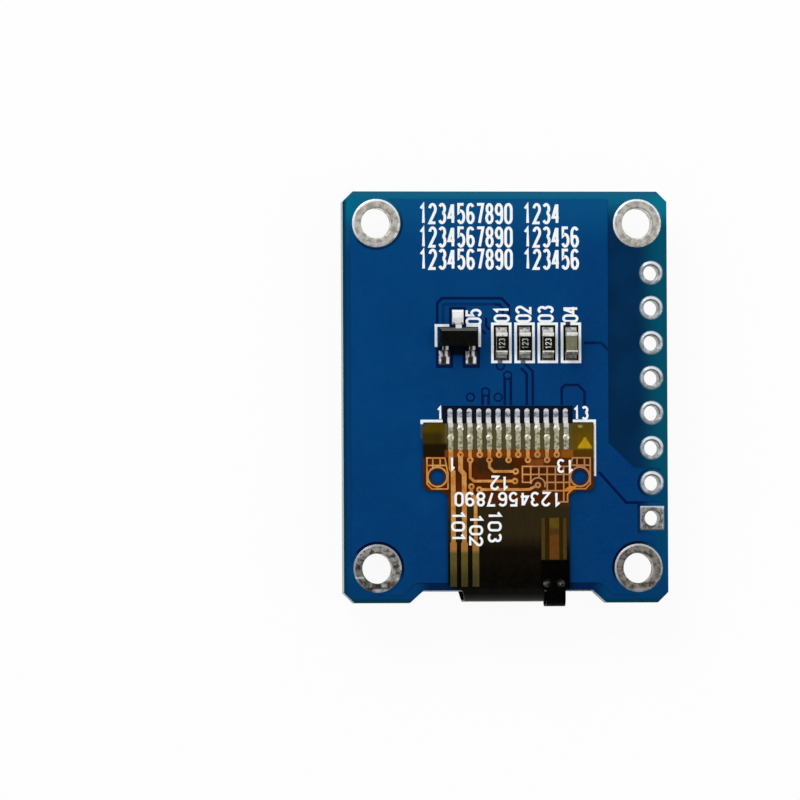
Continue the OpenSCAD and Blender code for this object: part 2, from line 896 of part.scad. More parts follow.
// Each trace as its width and its points
film_traces = [
    [wide_w, [[finger_x(0), finger_l], [finger_x(0), 3.4], [strip_xs[0], 3.7], [strip_xs[0], strip_join_y]]],
    [wide_w, [[finger_x(1), near_row + via_exit], [finger_x(1), 3.55], [strip_xs[1], 3.85],
        [strip_xs[1], strip_join_y]]],
    [trace_w, [[-2.72, 4.75 + via_exit], [-2.72, 5.3], [strip_xs[2], 5.6], [strip_xs[2], strip_join_y]]],
    [line_w, [[finger_x(2), far_row + via_exit], [finger_x(2), 4.1], [finger_x(2) + 0.26, 4.36],
        [0.46 - via_exit, 4.36]]],
    [line_w, [[finger_x(4), far_row + via_exit], [finger_x(4), 3.36], [finger_x(4) + 0.3, 3.66],
        [0.51 - via_exit, 3.66]]],
    [line_w, [[-2.14 + via_exit, 4.97], [1.5, 4.97], [1.98, 4.72]]]];

// Vias at the ends of those traces
film_vias = [[-2.72, 4.75], [0.46, 4.36], [0.51, 3.66], [-2.14, 4.97], [2.12, 4.65]];

// Crossed ground lines on the right, with an eye left open round the last via
mesh_xs = [1, 1.6, 2.2, 2.8, 3.4, 4];
mesh_ys = [3.3, 3.88, 4.46, 5.06];
mesh_end_x = 4.5;
mesh_eye = film_vias[4];
mesh_eye_d = 1.05;
mesh_cut = [[0.5, 4.5], [2.2, 4.5], [2.2, 6], [0.5, 6]];
mesh_arc = [[1.2, 3.5], [3.2, 3.5], [3.2, 5], mesh_eye, [1.2, 4.5]];
mesh_gusset = [[4, 5], [4.46, 4.7], [4.9, 4.74], [4.45, 5.12], [4.05, 5.12]];
mesh_edge = [[4.92, 4.72], [4.28, 5.3], [4.28, 5.87], [3.7, 5.87]];
mesh_rung = [[4, 5], [4, 5.87]];

// Lines in the ears, round the alignment holes
ear_line_margin = 0.27;
ear_line_w = 1.52;
ear_line_lean = 0.22;
ear_lean_y = 3.8;
ear_line_y = 2.68;
ear_cross_y = 3.22;
ear_bar_end_y = 3.6;
ear_bars = [0.42, 0.96];
ear_low_margin = 0.14;
ear_corner_w = 0.34;
ear_corner_l = 0.36;
eye_gap = 0.11;
eye_w = 0.13;

// Window over the tail's contacts
window_y = 7.02;
window_gap = 0.06;
window_lines = [-0.91, 0.66];
window_line_w = 0.26;
window_pad_x = -0.1;
window_pad_w = 0.72;
contact_xs = [-0.5, 0.5];
contact_w = 0.6;
contact_drop = 0.9;
contact_margin = 0.08;

// Solder on the fingers
toe_run = 0.26;
bead_r = 0.35;
bead_rise = 0.09;
bead_rows = [1.2, 0.55];

module trace(p, w) {
    track([for (q = p) on_film(q)], w);
}

module via_ring(p) {
    ring(on_film(p), via_d, via_hole_d, $fn = via_sides);
}

// A finger's lead-out, to a via in the near or the far row
module lead_out(i) {
    row = i % 2 == 1 ? near_row : far_row;
    difference() {
        trace([[finger_x(i), finger_l], [finger_x(i), row]], trace_w);
        translate(on_film([finger_x(i), row]))
            circle(d = (via_d + via_hole_d) / 2, $fn = via_sides);
    }
    via_ring([finger_x(i), row]);
}

module ground_mesh() {
    difference() {
        union() {
            for (x = mesh_xs)
                trace([[x, mesh_ys[0] - thin_w / 2], [x, mesh_ys[3] + thin_w / 2]], thin_w);
            for (y = mesh_ys)
                trace([[mesh_xs[0], y], [mesh_end_x, y]], thin_w);
        }
        translate(on_film(mesh_eye))
            circle(d = mesh_eye_d);
        polygon([for (p = mesh_cut) on_film(p)]);
    }
    intersection() {
        ring(on_film(mesh_eye), mesh_eye_d + thin_w, mesh_eye_d - thin_w);
        polygon([for (p = mesh_arc) on_film(p)]);
    }
    polygon([for (p = mesh_gusset) on_film(p)]);
    trace(mesh_edge, thin_w);
    trace(mesh_rung, thin_w);
}

// Copper round an alignment hole: a frame, a ring and a few bars
module ear_copper(side) {
    x0 = side * (film_half - ear_line_margin);
    x1 = x0 - side * ear_line_w;
    x2 = x1 + side * ear_line_lean;
    hole = [side * align_span / 2, align_y];
    low = ear_l - ear_low_margin;
    eye_inner_d = align_d + 2 * eye_gap;
    eye_outer_d = eye_inner_d + 2 * eye_w;
    trace([[x0, ear_line_y - thin_w / 2], [x0, low - ear_corner_l], [x0 - side * ear_corner_w, low],
        [x1, low]], thin_w);
    trace([[x1, low], [x1, ear_lean_y], [x2, ear_line_y], [x0, ear_line_y]], thin_w);
    difference() {
        union() {
            for (bar = ear_bars)
                trace([[x0 - side * bar, ear_line_y], [x0 - side * bar, ear_bar_end_y]], thin_w);
            trace([[x0, ear_cross_y], [(x1 + x2) / 2, ear_cross_y]], thin_w);
        }
        translate(on_film(hole))
            circle(d = eye_inner_d + eye_w);
    }
    ring(on_film(hole), eye_outer_d, eye_inner_d);
}

// Bare window over the tail's contacts: a pad between two lines, then the contacts under the tail
module contact_window() {
    x = tail_x - film_shift_x;
    low = film_end_y - tail_top_y - window_gap;
    for (line = window_lines)
        trace([[x + line, window_y], [x + line, low]], window_line_w);
    trace([[x + window_pad_x, window_y], [x + window_pad_x, low]], window_pad_w);
    for (line = contact_xs)
        trace([[x + line, low + contact_drop], [x + line, waist_end_y - contact_margin]], contact_w);
}

module flex_copper() {
    color([0.72, 0.42, 0.13])
        translate([0, 0, film_z])
            linear_extrude(film_copper_t)
                difference() {
                    union() {
                        for (i = [1 : finger_count - 2])
                            lead_out(i);
                        for (t = film_traces)
                            trace(t[1], t[0]);
                        for (p = film_vias)
                            via_ring(p);
                        for (x = strip_xs)
                            trace([[x, strip_y], [x, strip_end_y]], strip_w);
                        ground_mesh();
                        ear_copper(-1);
                        ear_copper(1);
                        contact_window();
                    }
                    align_holes();
                }
}

module flex_fingers() {
    color([0.66, 0.66, 0.58])
        for (i = [0 : finger_count - 1])
            translate(on_film([finger_x(i), finger_l]))
                translate([-finger_w / 2, 0, film_z])
                    cube([finger_w, finger_l - film_trim, film_copper_t]);
}

// A low round cap of solder on a flat face
module solder_cap(r, rise) {
    intersection() {
        translate([0, 0, rise - r])
            sphere(r = r);
        cylinder(r = r, h = r);
    }
}

// Solder: a slope from each land up on to its finger, and a bead in each finger's hole
module flex_solder() {
    color([0.86, 0.86, 0.84])
        for (i = [0 : finger_count - 1]) {
            translate([finger_x(i) + film_shift_x / 2, film_end_y - film_trim, land_z])
                fillet(finger_w - film_shift_x, toe_run, film_copper_z - land_z);
            translate(on_film([finger_x(i), bead_rows[i % 2]]))
                translate([0, 0, film_copper_z])
                    solder_cap(bead_r, bead_rise);
        }
}

// Backlight tail: the lamps' strip in the backlight, a narrow film round the board, a wider soldered end
module backlight_tail() {
    half = tail_w / 2;
    end_half = tail_end_w / 2;
    strip_half = (lamp_span + lamp_w) / 2 + lamp_strip_margin;
    color([0.03, 0.03, 0.035])
        union() {
            along_x(tail_x - half, tail_x + half)
                fold_section(tail_fold_y, bay_y + frame_fit + join_over, tail_top_y - tail_end_l + join_over,
                    reflector_z - tail_t, tail_z, tail_r, tail_t);
            slab([tail_x - end_half, tail_top_y - tail_end_l], [tail_x + end_half, tail_top_y],
                film_copper_z, tail_t);
            slab([-strip_half, bay_y + frame_fit], [strip_half, guide_y - frame_fit],
                reflector_z - tail_t, tail_t);
        }
}

joint_r = 0.5;
joint_rise = 0.1;
joint_span = 1;
joint_shift = -0.15;
joint_margin = 0.36;

module tail_solder() {
    color([0.70, 0.70, 0.69])
        for (side = [-1, 1])
            translate([tail_x + joint_shift + side * joint_span / 2,
                tail_top_y - tail_end_l + joint_margin, tail_z])
                solder_cap(joint_r, joint_rise);
}

// Display cell

module front_polarizer() {
    half = glass_half - polarizer_inset;
    color([0.03, 0.03, 0.035])
        slab([-half, ledge_y + polarizer_inset], [half, glass_top_y - polarizer_inset], 0, polarizer_t);
}

module front_glass() {
    color([0.75, 0.82, 0.80, 0.5])
        slab([-glass_half, ledge_y], [glass_half, glass_top_y], front_glass_z, glass_t);
}

module rear_glass() {
    color([0.72, 0.80, 0.78, 0.5])
        slab([-glass_half, glass_y], [glass_half, glass_top_y], rear_glass_z, glass_t);
}

module driver_chip() {
    middle = (glass_y + bond_l + ledge_y) / 2;
    color([0.10, 0.10, 0.11])
        slab([-driver_w / 2, middle - driver_l / 2], [driver_w / 2, middle + driver_l / 2],
            rear_glass_z - driver_t, driver_t);
}

module rear_polarizer() {
    half = glass_half - polarizer_inset;
    color([0.10, 0.10, 0.11])
        slab([-half, glass_y + polarizer_inset], [half, glass_top_y - polarizer_inset],
            rear_polarizer_z, polarizer_t);
}

// Backlight

module rim_tape() {
    half = display_w / 2;
    color([0.05, 0.05, 0.05])
        sheet_frame([-half, display_y], [half, display_top_y],
            [-half + rim_tape_w, guide_y + frame_wall], [half - rim_tape_w, display_top_y - rim_tape_w],
            rim_tape_z, rim_tape_t);
}

module backlight_frame() {
    half = display_w / 2;
    color([0.93, 0.93, 0.91])
        difference() {
            sheet_frame([-half, display_y], [half, display_top_y],
                [-half + frame_wall, bay_y], [half - frame_wall, display_top_y - frame_wall],
                backlight_z, frame_t);
            slab([tail_x - tail_w / 2 - frame_fit, display_y - cut_over],
                [tail_x + tail_w / 2 + frame_fit, bay_y + cut_over],
                reflector_z - tail_t, tail_t + cut_over);
        }
}

// A sheet that fills the frame's window in front of the lamps
module frame_sheet(level, t) {
    half = display_w / 2 - frame_wall - frame_fit;
    slab([-half, guide_y], [half, display_top_y - frame_wall - frame_fit], level, t);
}

module prism_film_1() {
    color([0.88, 0.90, 0.92])
        frame_sheet(backlight_z, sheet_t);
}

module prism_film_2() {
    color([0.86, 0.88, 0.90])
        frame_sheet(backlight_z + sheet_t, sheet_t);
}

module diffuser_film() {
    color([0.95, 0.95, 0.95])
        frame_sheet(backlight_z + 2 * sheet_t, sheet_t);
}

module light_guide() {
    color([0.85, 0.92, 0.94])
        frame_sheet(backlight_z + 3 * sheet_t, frame_t - 3 * sheet_t);
}

module reflector() {
    half = display_w / 2;
    color([0.90, 0.91, 0.92])
        slab([-half, display_y], [half, display_top_y], reflector_z, reflector_t);
}

module backlight_leds() {
    color([0.95, 0.90, 0.55])
        for (side = [-1, 1])
            slab([side * lamp_span / 2 - lamp_w / 2, guide_y - frame_fit - lamp_l],
                [side * lamp_span / 2 + lamp_w / 2, guide_y - frame_fit],
                backlight_z, frame_t - tail_t);
}

module mounting_tape() {
    half = display_w / 2 - mount_tape_inset;
    color([0.92, 0.92, 0.90])
        slab([-half, display_y + mount_tape_inset], [half, display_top_y - mount_tape_inset],
            mount_tape_z, mount_tape_t);
}

printed_board();
back_copper();
mounting_pads();
header_pads();
flex_lands();
component_lands();
legend_print();
resistor_chip(0);  // resistor_1_chip
resistor_coat(0);  // resistor_1_coat
resistor_caps(0);  // resistor_1_caps
resistor_chip(1);  // resistor_2_chip
resistor_coat(1);  // resistor_2_coat
resistor_caps(1);  // resistor_2_caps
resistor_chip(2);  // resistor_3_chip
resistor_coat(2);  // resistor_3_coat
resistor_caps(2);  // resistor_3_caps
capacitor_chip();
capacitor_caps();
chip_solder();
transistor_body();
transistor_leads();
transistor_solder();
flex_film();
flex_copper();
flex_fingers();
flex_solder();
backlight_tail();
tail_solder();
front_polarizer();
front_glass();
rear_glass();
driver_chip();
rear_polarizer();
rim_tape();
backlight_frame();
prism_film_1();
prism_film_2();
diffuser_film();
light_guide();
reflector();
backlight_leds();
mounting_tape();
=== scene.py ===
# %% [markdown]
# This lesson dresses a small colour display module. It lies on the glass of its display, so what shows is the
# back of its carrier board: blue solder mask, tinned holes, a few chips, and an amber flexible circuit that
# comes round the bottom edge and is soldered down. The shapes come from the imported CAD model, in metres, and
# they stay as they are. Loading that frame first means that every finish can be placed by its numbers.

# %% Load the frame
import math

import bpy
from mathutils import Matrix, Vector


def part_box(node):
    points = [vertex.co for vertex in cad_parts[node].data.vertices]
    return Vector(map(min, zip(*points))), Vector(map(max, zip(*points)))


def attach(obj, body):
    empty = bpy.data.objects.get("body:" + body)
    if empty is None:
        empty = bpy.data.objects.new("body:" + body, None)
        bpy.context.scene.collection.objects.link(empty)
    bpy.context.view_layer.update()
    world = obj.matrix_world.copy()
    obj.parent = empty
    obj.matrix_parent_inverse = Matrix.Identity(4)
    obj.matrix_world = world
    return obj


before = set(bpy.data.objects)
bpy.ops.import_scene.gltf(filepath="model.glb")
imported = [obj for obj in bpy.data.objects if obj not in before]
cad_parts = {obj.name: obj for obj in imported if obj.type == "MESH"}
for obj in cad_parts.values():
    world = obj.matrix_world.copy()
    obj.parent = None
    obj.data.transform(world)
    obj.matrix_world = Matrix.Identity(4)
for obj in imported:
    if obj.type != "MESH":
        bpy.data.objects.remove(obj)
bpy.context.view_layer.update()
MM = 0.001

# %% [markdown]
# The camera stands above the board, a little to the left and towards the flexible circuit, which is why the
# board's left wall and the far sides of its holes just show. A long lens from 700 mm keeps the outline square.
# Blender's tracking helpers keep a camera upright against Z, which is no use when it looks straight down, so
# the three axes are worked out here: forwards, then right, then up along the board's Y.

# %% Camera
BOARD_FACE = 3.3
CAMERA_DISTANCE = 700
CAMERA_LENS = 434.95
CAMERA_ROLL = math.radians(-0.246)
LEAN_LEFT, LEAN_DOWN = math.radians(6), math.radians(2)
AIM_X, AIM_Y = -7.821, -0.313
stand = Vector((-math.tan(LEAN_LEFT), -math.tan(LEAN_DOWN), 1)).normalized()
camera_spot = Vector((0, 0, BOARD_FACE)) + stand * CAMERA_DISTANCE
aim = Vector((AIM_X, AIM_Y, BOARD_FACE))
forwards = (aim - camera_spot).normalized()
level = forwards.cross(Vector((0, 1, 0))).normalized()
to_right = level * math.cos(CAMERA_ROLL) + level.cross(forwards) * math.sin(CAMERA_ROLL)
upwards = to_right.cross(forwards)
camera = bpy.data.objects.new("camera", bpy.data.cameras.new("camera"))
bpy.context.scene.collection.objects.link(camera)
camera.data.lens = CAMERA_LENS
turn = Matrix((to_right, upwards, -forwards)).transposed().to_4x4()
camera.matrix_world = Matrix.Translation(camera_spot * MM) @ turn
bpy.context.scene.camera = camera
bpy.context.scene.view_settings.view_transform = "Standard"
print("camera at", [round(c, 1) for c in camera_spot], "mm")

# %% [markdown]
# Every finish below is a small tree of nodes. These helpers keep the cells short: they put a node in a tree and
# fill its sockets with numbers or links, give the result of a sum, a product, a smooth step or a mix of two
# colours, and turn a colour as a screen shows it, from 0 to 255, into the linear values that shaders work with.

# %% Node helpers
def fill(tree, node, inputs):
    """Give a node's inputs their values, or link other nodes' outputs to them."""
    for name, value in (inputs or {}).items():
        if isinstance(value, bpy.types.NodeSocket):
            tree.links.new(value, node.inputs[name])
        else:
            node.inputs[name].default_value = value
    return node


def place(tree, kind, inputs=None, **options):
    """Put one node in a tree, set its options, and fill its inputs."""
    node = tree.nodes.new("ShaderNode" + kind)
    for name, value in options.items():
        setattr(node, name, value)
    return fill(tree, node, inputs)


def math_of(tree, operation, *values):
    """One Math node's result."""
    return place(tree, "Math", dict(enumerate(values)), operation=operation).outputs[0]


def product(tree, *values):
    """Several values multiplied."""
    total, *others = values
    for value in others:
        total = math_of(tree, "MULTIPLY", total, value)
    return total


def ease(tree, value, start, end, low=0.0, high=1.0):
    """A value that goes smoothly from low to high between start and end."""
    sockets = {"Value": value, "From Min": start, "From Max": end, "To Min": low, "To Max": high}
    return place(tree, "MapRange", sockets, interpolation_type="SMOOTHSTEP").outputs["Result"]


def blend_of(tree, factor, first, second):
    """The first colour where the factor is 0, the second where it is 1."""
    return place(tree, "Mix", {0: factor, 6: first, 7: second}, data_type="RGBA").outputs[2]


def shade(red, green, blue):
    """A screen colour as linear values."""
    def linear(c):
        return c / 12.92 if c < 0.04 else ((c + 0.055) / 1.055) ** 2.4
    return (*(linear(c / 255) for c in (red, green, blue)), 1)


def between(tree, factor, first, second):
    """A blend of two screen colours."""
    return blend_of(tree, factor, shade(*first), shade(*second))


print("white is", shade(255, 255, 255), "and mask blue is", [round(c, 3) for c in shade(1, 60, 114)])

# %% [markdown]
# The studio is a white floor under a dome that is white at the horizon and dark overhead. The dark top is what
# a flat shiny surface mirrors towards this camera, so the blue mask and the black parts stay deep, while
# sloping tin catches the white. The dome is brighter towards the upper left, as a room with one large window
# is. The floor shows white by its own light, to the camera and in mirrors, and a small part of it is ordinary
# white paint, which keeps the soft shadow. From below it is clear, so that the display can be seen.

# %% Floor and dome
FLOOR_HALF = 3.0
FLOOR_DROP = 0.00003
FLOOR_PAINT = (0.9, 0.9, 0.9, 1)
SHOWN_WHITE = 0.93
DOME_STOPS = ((0.0, 1.0), (0.5, 1.0), (0.75, 0.55), (0.9, 0.1), (1.0, 0.07))
WINDOW_WAY = (-0.6, 0.8, 0.0)
WINDOW_SILL, WINDOW_HEAD = 0.1, 0.35
WINDOW_GAIN = 0.4


def white_floor():
    mesh = bpy.data.meshes.new("floor")
    corners = [(x * FLOOR_HALF, y * FLOOR_HALF, -FLOOR_DROP) for x, y in ((-1, -1), (1, -1), (1, 1), (-1, 1))]
    mesh.from_pydata(corners, [], [(0, 1, 2, 3)])
    material = bpy.data.materials.new("white floor")
    material.use_nodes = True
    tree = material.node_tree
    tree.nodes.remove(tree.nodes["Principled BSDF"])
    path = place(tree, "LightPath").outputs
    seen = math_of(tree, "MAXIMUM", path["Is Camera Ray"], path["Is Glossy Ray"])
    seen = math_of(tree, "MAXIMUM", seen, path["Is Transmission Ray"])
    glow = place(tree, "Emission", {"Strength": 1.0}).outputs[0]
    paint = place(tree, "BsdfDiffuse", {"Color": FLOOR_PAINT}).outputs[0]
    share = product(tree, seen, SHOWN_WHITE)
    shown = place(tree, "MixShader", {0: share, 1: paint, 2: glow}).outputs[0]
    below = place(tree, "NewGeometry").outputs["Backfacing"]
    clear = place(tree, "BsdfTransparent").outputs[0]
    both = place(tree, "MixShader", {0: below, 1: shown, 2: clear}).outputs[0]
    tree.links.new(both, tree.nodes["Material Output"].inputs["Surface"])
    mesh.materials.append(material)
    floor = bpy.data.objects.new("floor", mesh)
    bpy.context.scene.collection.objects.link(floor)


def studio_dome():
    world = bpy.data.worlds.new("studio")
    world.use_nodes = True
    tree = world.node_tree
    way = place(tree, "TexCoord").outputs["Generated"]
    height = place(tree, "SeparateXYZ", {0: way}).outputs["Z"]
    ramp = place(tree, "ValToRGB", {0: height})
    while len(ramp.color_ramp.elements) < len(DOME_STOPS):
        ramp.color_ramp.elements.new(1)
    for element, (stop, tone) in zip(ramp.color_ramp.elements, DOME_STOPS):
        element.position = stop
        element.color = (tone, tone, tone, 1)
    towards = place(tree, "VectorMath", {0: way, 1: WINDOW_WAY}, operation="DOT_PRODUCT").outputs["Value"]
    gain = product(tree, towards, ease(tree, height, WINDOW_SILL, WINDOW_HEAD, 0.0, WINDOW_GAIN))
    strength = math_of(tree, "ADD", gain, 1.0)
    fill(tree, tree.nodes["Background"], {"Color": ramp.outputs[0], "Strength": strength})
    bpy.context.scene.world = world


white_floor()
studio_dome()

# %% [markdown]
# Two large soft lamps finish the light. The stronger one stands behind the board's top edge at the left, where
# the pads' bright rims point to, and a weaker one fills from the right. Their power is set so that a surface
# lit by dome and lamps together shows about the colour written in its material.

# %% Lamps
# Name, place and side in metres, and power in watts.
LAMPS = [
    ("key_lamp", (-0.3, 0.5, 0.45), 0.35, 2.3),
    ("fill_lamp", (0.5, -0.1, 0.45), 0.4, 0.9),
]


def soft_lamp(name, spot, side, watts):
    lamp = bpy.data.lights.new(name, "AREA")
    lamp.size = side
    lamp.energy = watts
    holder = bpy.data.objects.new(name, lamp)
    bpy.context.scene.collection.objects.link(holder)
    holder.location = spot
    holder.rotation_euler = (-Vector(spot)).to_track_quat("-Z", "Y").to_euler()


for lamp_row in LAMPS:
    soft_lamp(*lamp_row)

# %% [markdown]
# Finishes on this object change with place: the mask is paler near the cut edges, the film is darker where it
# goes round the board. So the first shared effect gives each point of a surface its place in millimetres. The
# CAD nodes sit at the origin, which makes their object coordinates the same as the drawing's. The second is a
# soft-edged rectangle, and the third tells level faces, slopes and upright walls apart by the way they face.

# %% Shared effects: place, patch and facing
# How upright a face's normal is where walls and level faces begin and end, and how far a back face leans.
WALL_STEP = (0.4, 0.1)
LEVEL_STEP = (0.99, 0.93)
BACK_STEP = (0.1, 0.5)


def effect(name, inputs, outputs):
    """An empty shader node group with named sockets; returns its tree, its inputs and where its outputs go."""
    tree = bpy.data.node_groups.new(name, "ShaderNodeTree")
    for label, kind, value in inputs:
        socket = tree.interface.new_socket(label, in_out="INPUT", socket_type="NodeSocket" + kind)
        if value is not None:
            socket.default_value = value
    for label, kind in outputs:
        tree.interface.new_socket(label, in_out="OUTPUT", socket_type="NodeSocket" + kind)
    return tree, tree.nodes.new("NodeGroupInput").outputs, tree.nodes.new("NodeGroupOutput").inputs


def use(tree, name, inputs=None):
    """Place a shared effect in a material and return its outputs."""
    node = tree.nodes.new("ShaderNodeGroup")
    node.node_tree = bpy.data.node_groups[name]
    return fill(tree, node, inputs).outputs


def make_place_effect():
    outputs = [("X", "Float"), ("Y", "Float"), ("Z", "Float"), ("Point", "Vector")]
    tree, _, out = effect("place in mm", [], outputs)
    metres = place(tree, "TexCoord").outputs["Object"]
    point = place(tree, "VectorMath", {0: metres, "Scale": 1 / MM}, operation="SCALE").outputs[0]
    ways = place(tree, "SeparateXYZ", {0: point}).outputs
    for label in "XYZ":
        tree.links.new(ways[label], out[label])
    tree.links.new(point, out["Point"])


def make_patch_effect():
    sides = ("Left", "Right", "Bottom", "Top")
    inputs = [("X", "Float", None), ("Y", "Float", None), ("Blur", "Float", 0.1)]
    tree, given, out = effect("soft patch", inputs + [(s, "Float", 0.0) for s in sides], [("Mask", "Float")])
    half = product(tree, given["Blur"], 0.5)
    outside = product(tree, half, -1.0)
    edges = []
    for way, low, high in (("X", "Left", "Right"), ("Y", "Bottom", "Top")):
        for first, second in ((way, low), (high, way)):
            past = math_of(tree, "SUBTRACT", given[first], given[second])
            edges.append(ease(tree, past, outside, half))
    tree.links.new(product(tree, *edges), out["Mask"])


def make_facing_effect():
    outputs = [("Wall", "Float"), ("Slope", "Float"), ("Back", "Float")]
    tree, _, out = effect("facing", [], outputs)
    ways = place(tree, "SeparateXYZ", {0: place(tree, "TexCoord").outputs["Normal"]}).outputs
    upright = math_of(tree, "ABSOLUTE", ways["Z"])
    wall = ease(tree, upright, *WALL_STEP)
    tilted = ease(tree, upright, *LEVEL_STEP)
    tree.links.new(wall, out["Wall"])
    tree.links.new(math_of(tree, "SUBTRACT", tilted, wall), out["Slope"])
    tree.links.new(ease(tree, ways["Y"], *BACK_STEP), out["Back"])


make_place_effect()
make_patch_effect()
make_facing_effect()
print("effects", [g.name for g in bpy.data.node_groups])

# %% [markdown]
# Nothing real is one flat colour. The grain effect is a cloud of noise of a given size, stretched between two
# values, for slow changes of colour, for fine roughness and for the height of a bump. The tin effect builds on
# it: hot tin freezes in pale and dull clouds with fine pits. Two masks say where a rim or slope and where a
# wall or a hole's edge take tones of their own, painted light and shade by the way they face. Its colour,
# roughness and height follow all of these.

# %% Shared effects: grain and tin
NOISE_LOW, NOISE_HIGH = 0.3, 0.7
TONE_LOW, TONE_HIGH = 0.15, 0.85
CLOUD_IN_TONE, CLOUD_IN_HEIGHT = 0.7, 0.6


def part_of(tree, share, first, second):
    """A sum of two values: this share of the first, the rest from the second."""
    return math_of(tree, "ADD", product(tree, first, share), product(tree, second, 1 - share))


def make_grain_effect():
    inputs = [("Point", "Vector", None), ("Size", "Float", 1.0), ("Low", "Float", 0.0), ("High", "Float", 1.0)]
    tree, given, out = effect("grain", inputs, [("Value", "Float")])
    fineness = math_of(tree, "DIVIDE", 1.0, given["Size"])
    noise = place(tree, "TexNoise", {"Vector": given["Point"], "Scale": fineness, "Detail": 4.0}).outputs[0]
    tree.links.new(ease(tree, noise, NOISE_LOW, NOISE_HIGH, given["Low"], given["High"]), out["Value"])


def make_tin_effect():
    inputs = [("Point", "Vector", None), ("Cloud", "Float", 0.8), ("Pit", "Float", 0.09),
              ("Dull", "Color", (0.4, 0.4, 0.4, 1)), ("Bright", "Color", (0.8, 0.8, 0.8, 1)),
              ("Rim", "Color", (0.9, 0.9, 0.9, 1)), ("Bore", "Color", (0.1, 0.1, 0.1, 1)),
              ("Rim mask", "Float", 0.0), ("Bore mask", "Float", 0.0),
              ("Smooth", "Float", 0.25), ("Rough", "Float", 0.5)]
    outputs = [("Colour", "Color"), ("Roughness", "Float"), ("Height", "Float")]
    tree, given, out = effect("tin", inputs, outputs)
    cloud = use(tree, "grain", {"Point": given["Point"], "Size": given["Cloud"]})["Value"]
    pit = use(tree, "grain", {"Point": given["Point"], "Size": given["Pit"]})["Value"]
    tone = ease(tree, part_of(tree, CLOUD_IN_TONE, cloud, pit), TONE_LOW, TONE_HIGH)
    colour = blend_of(tree, tone, given["Dull"], given["Bright"])
    colour = blend_of(tree, given["Rim mask"], colour, given["Rim"])
    tree.links.new(blend_of(tree, given["Bore mask"], colour, given["Bore"]), out["Colour"])
    tree.links.new(ease(tree, tone, 0.0, 1.0, given["Rough"], given["Smooth"]), out["Roughness"])
    tree.links.new(part_of(tree, CLOUD_IN_HEIGHT, cloud, pit), out["Height"])


make_grain_effect()
make_tin_effect()
print("effects", [g.name for g in bpy.data.node_groups])

# %% [markdown]
# A finish starts from one Principled shader whose constant sockets are set directly. These helpers start one,
# lay patches of colour over each other, give a bump of a real height in millimetres, and put the finished
# material on the CAD nodes that wear it. A patch is a rectangle (left, right, bottom and top in millimetres),
# the width of its soft edge and a screen colour. Each finish below has its own list of them.

# %% Finish helpers
def finish(name, **sockets):
    """A new material: returns it, its tree, its Principled shader and the surface's place in mm."""
    material = bpy.data.materials.new(name)
    material.use_nodes = True
    tree = material.node_tree
    skin = tree.nodes["Principled BSDF"]
    fill(tree, skin, {label.replace("_", " "): value for label, value in sockets.items()})
    return material, tree, skin, use(tree, "place in mm")


def grain(tree, at, size, low=0.0, high=1.0):
    """A cloud of noise at the surface's place."""
    return use(tree, "grain", {"Point": at["Point"], "Size": size, "Low": low, "High": high})["Value"]


def paint(tree, at, colour, patches):
    """Lay soft-edged patches of colour over a colour, one after the other."""
    for (left, right, bottom, top), blur, tone in patches:
        sides = {"Left": left, "Right": right, "Bottom": bottom, "Top": top}
        mask = use(tree, "soft patch", {"X": at["X"], "Y": at["Y"], "Blur": blur, **sides})["Mask"]
        colour = blend_of(tree, mask, colour, shade(*tone))
    return colour


def bump(tree, skin, height, millimetres):
    """Raise the surface by a height map whose full range is this many millimetres."""
    node = place(tree, "Bump", {"Height": height, "Distance": millimetres * MM, "Strength": 1.0})
    tree.links.new(node.outputs["Normal"], skin.inputs["Normal"])


def dress(material, *names):
    for name in names:
        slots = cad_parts[name].data.materials
        slots.clear()
        slots.append(material)


# %% [markdown]
# The carrier board is woven glass in resin, 1.6 mm thick, under blue solder mask. Where no copper lies beneath,
# the mask looks navy. Near the routed edges light comes in through the pale laminate, so the blue turns to teal
# there, and between the chips it lies in shade. The cut walls show the bare laminate and its layers. One
# material does all of it, by the way that a face points and by patches laid out on the upper face. The
# underside stays plain.

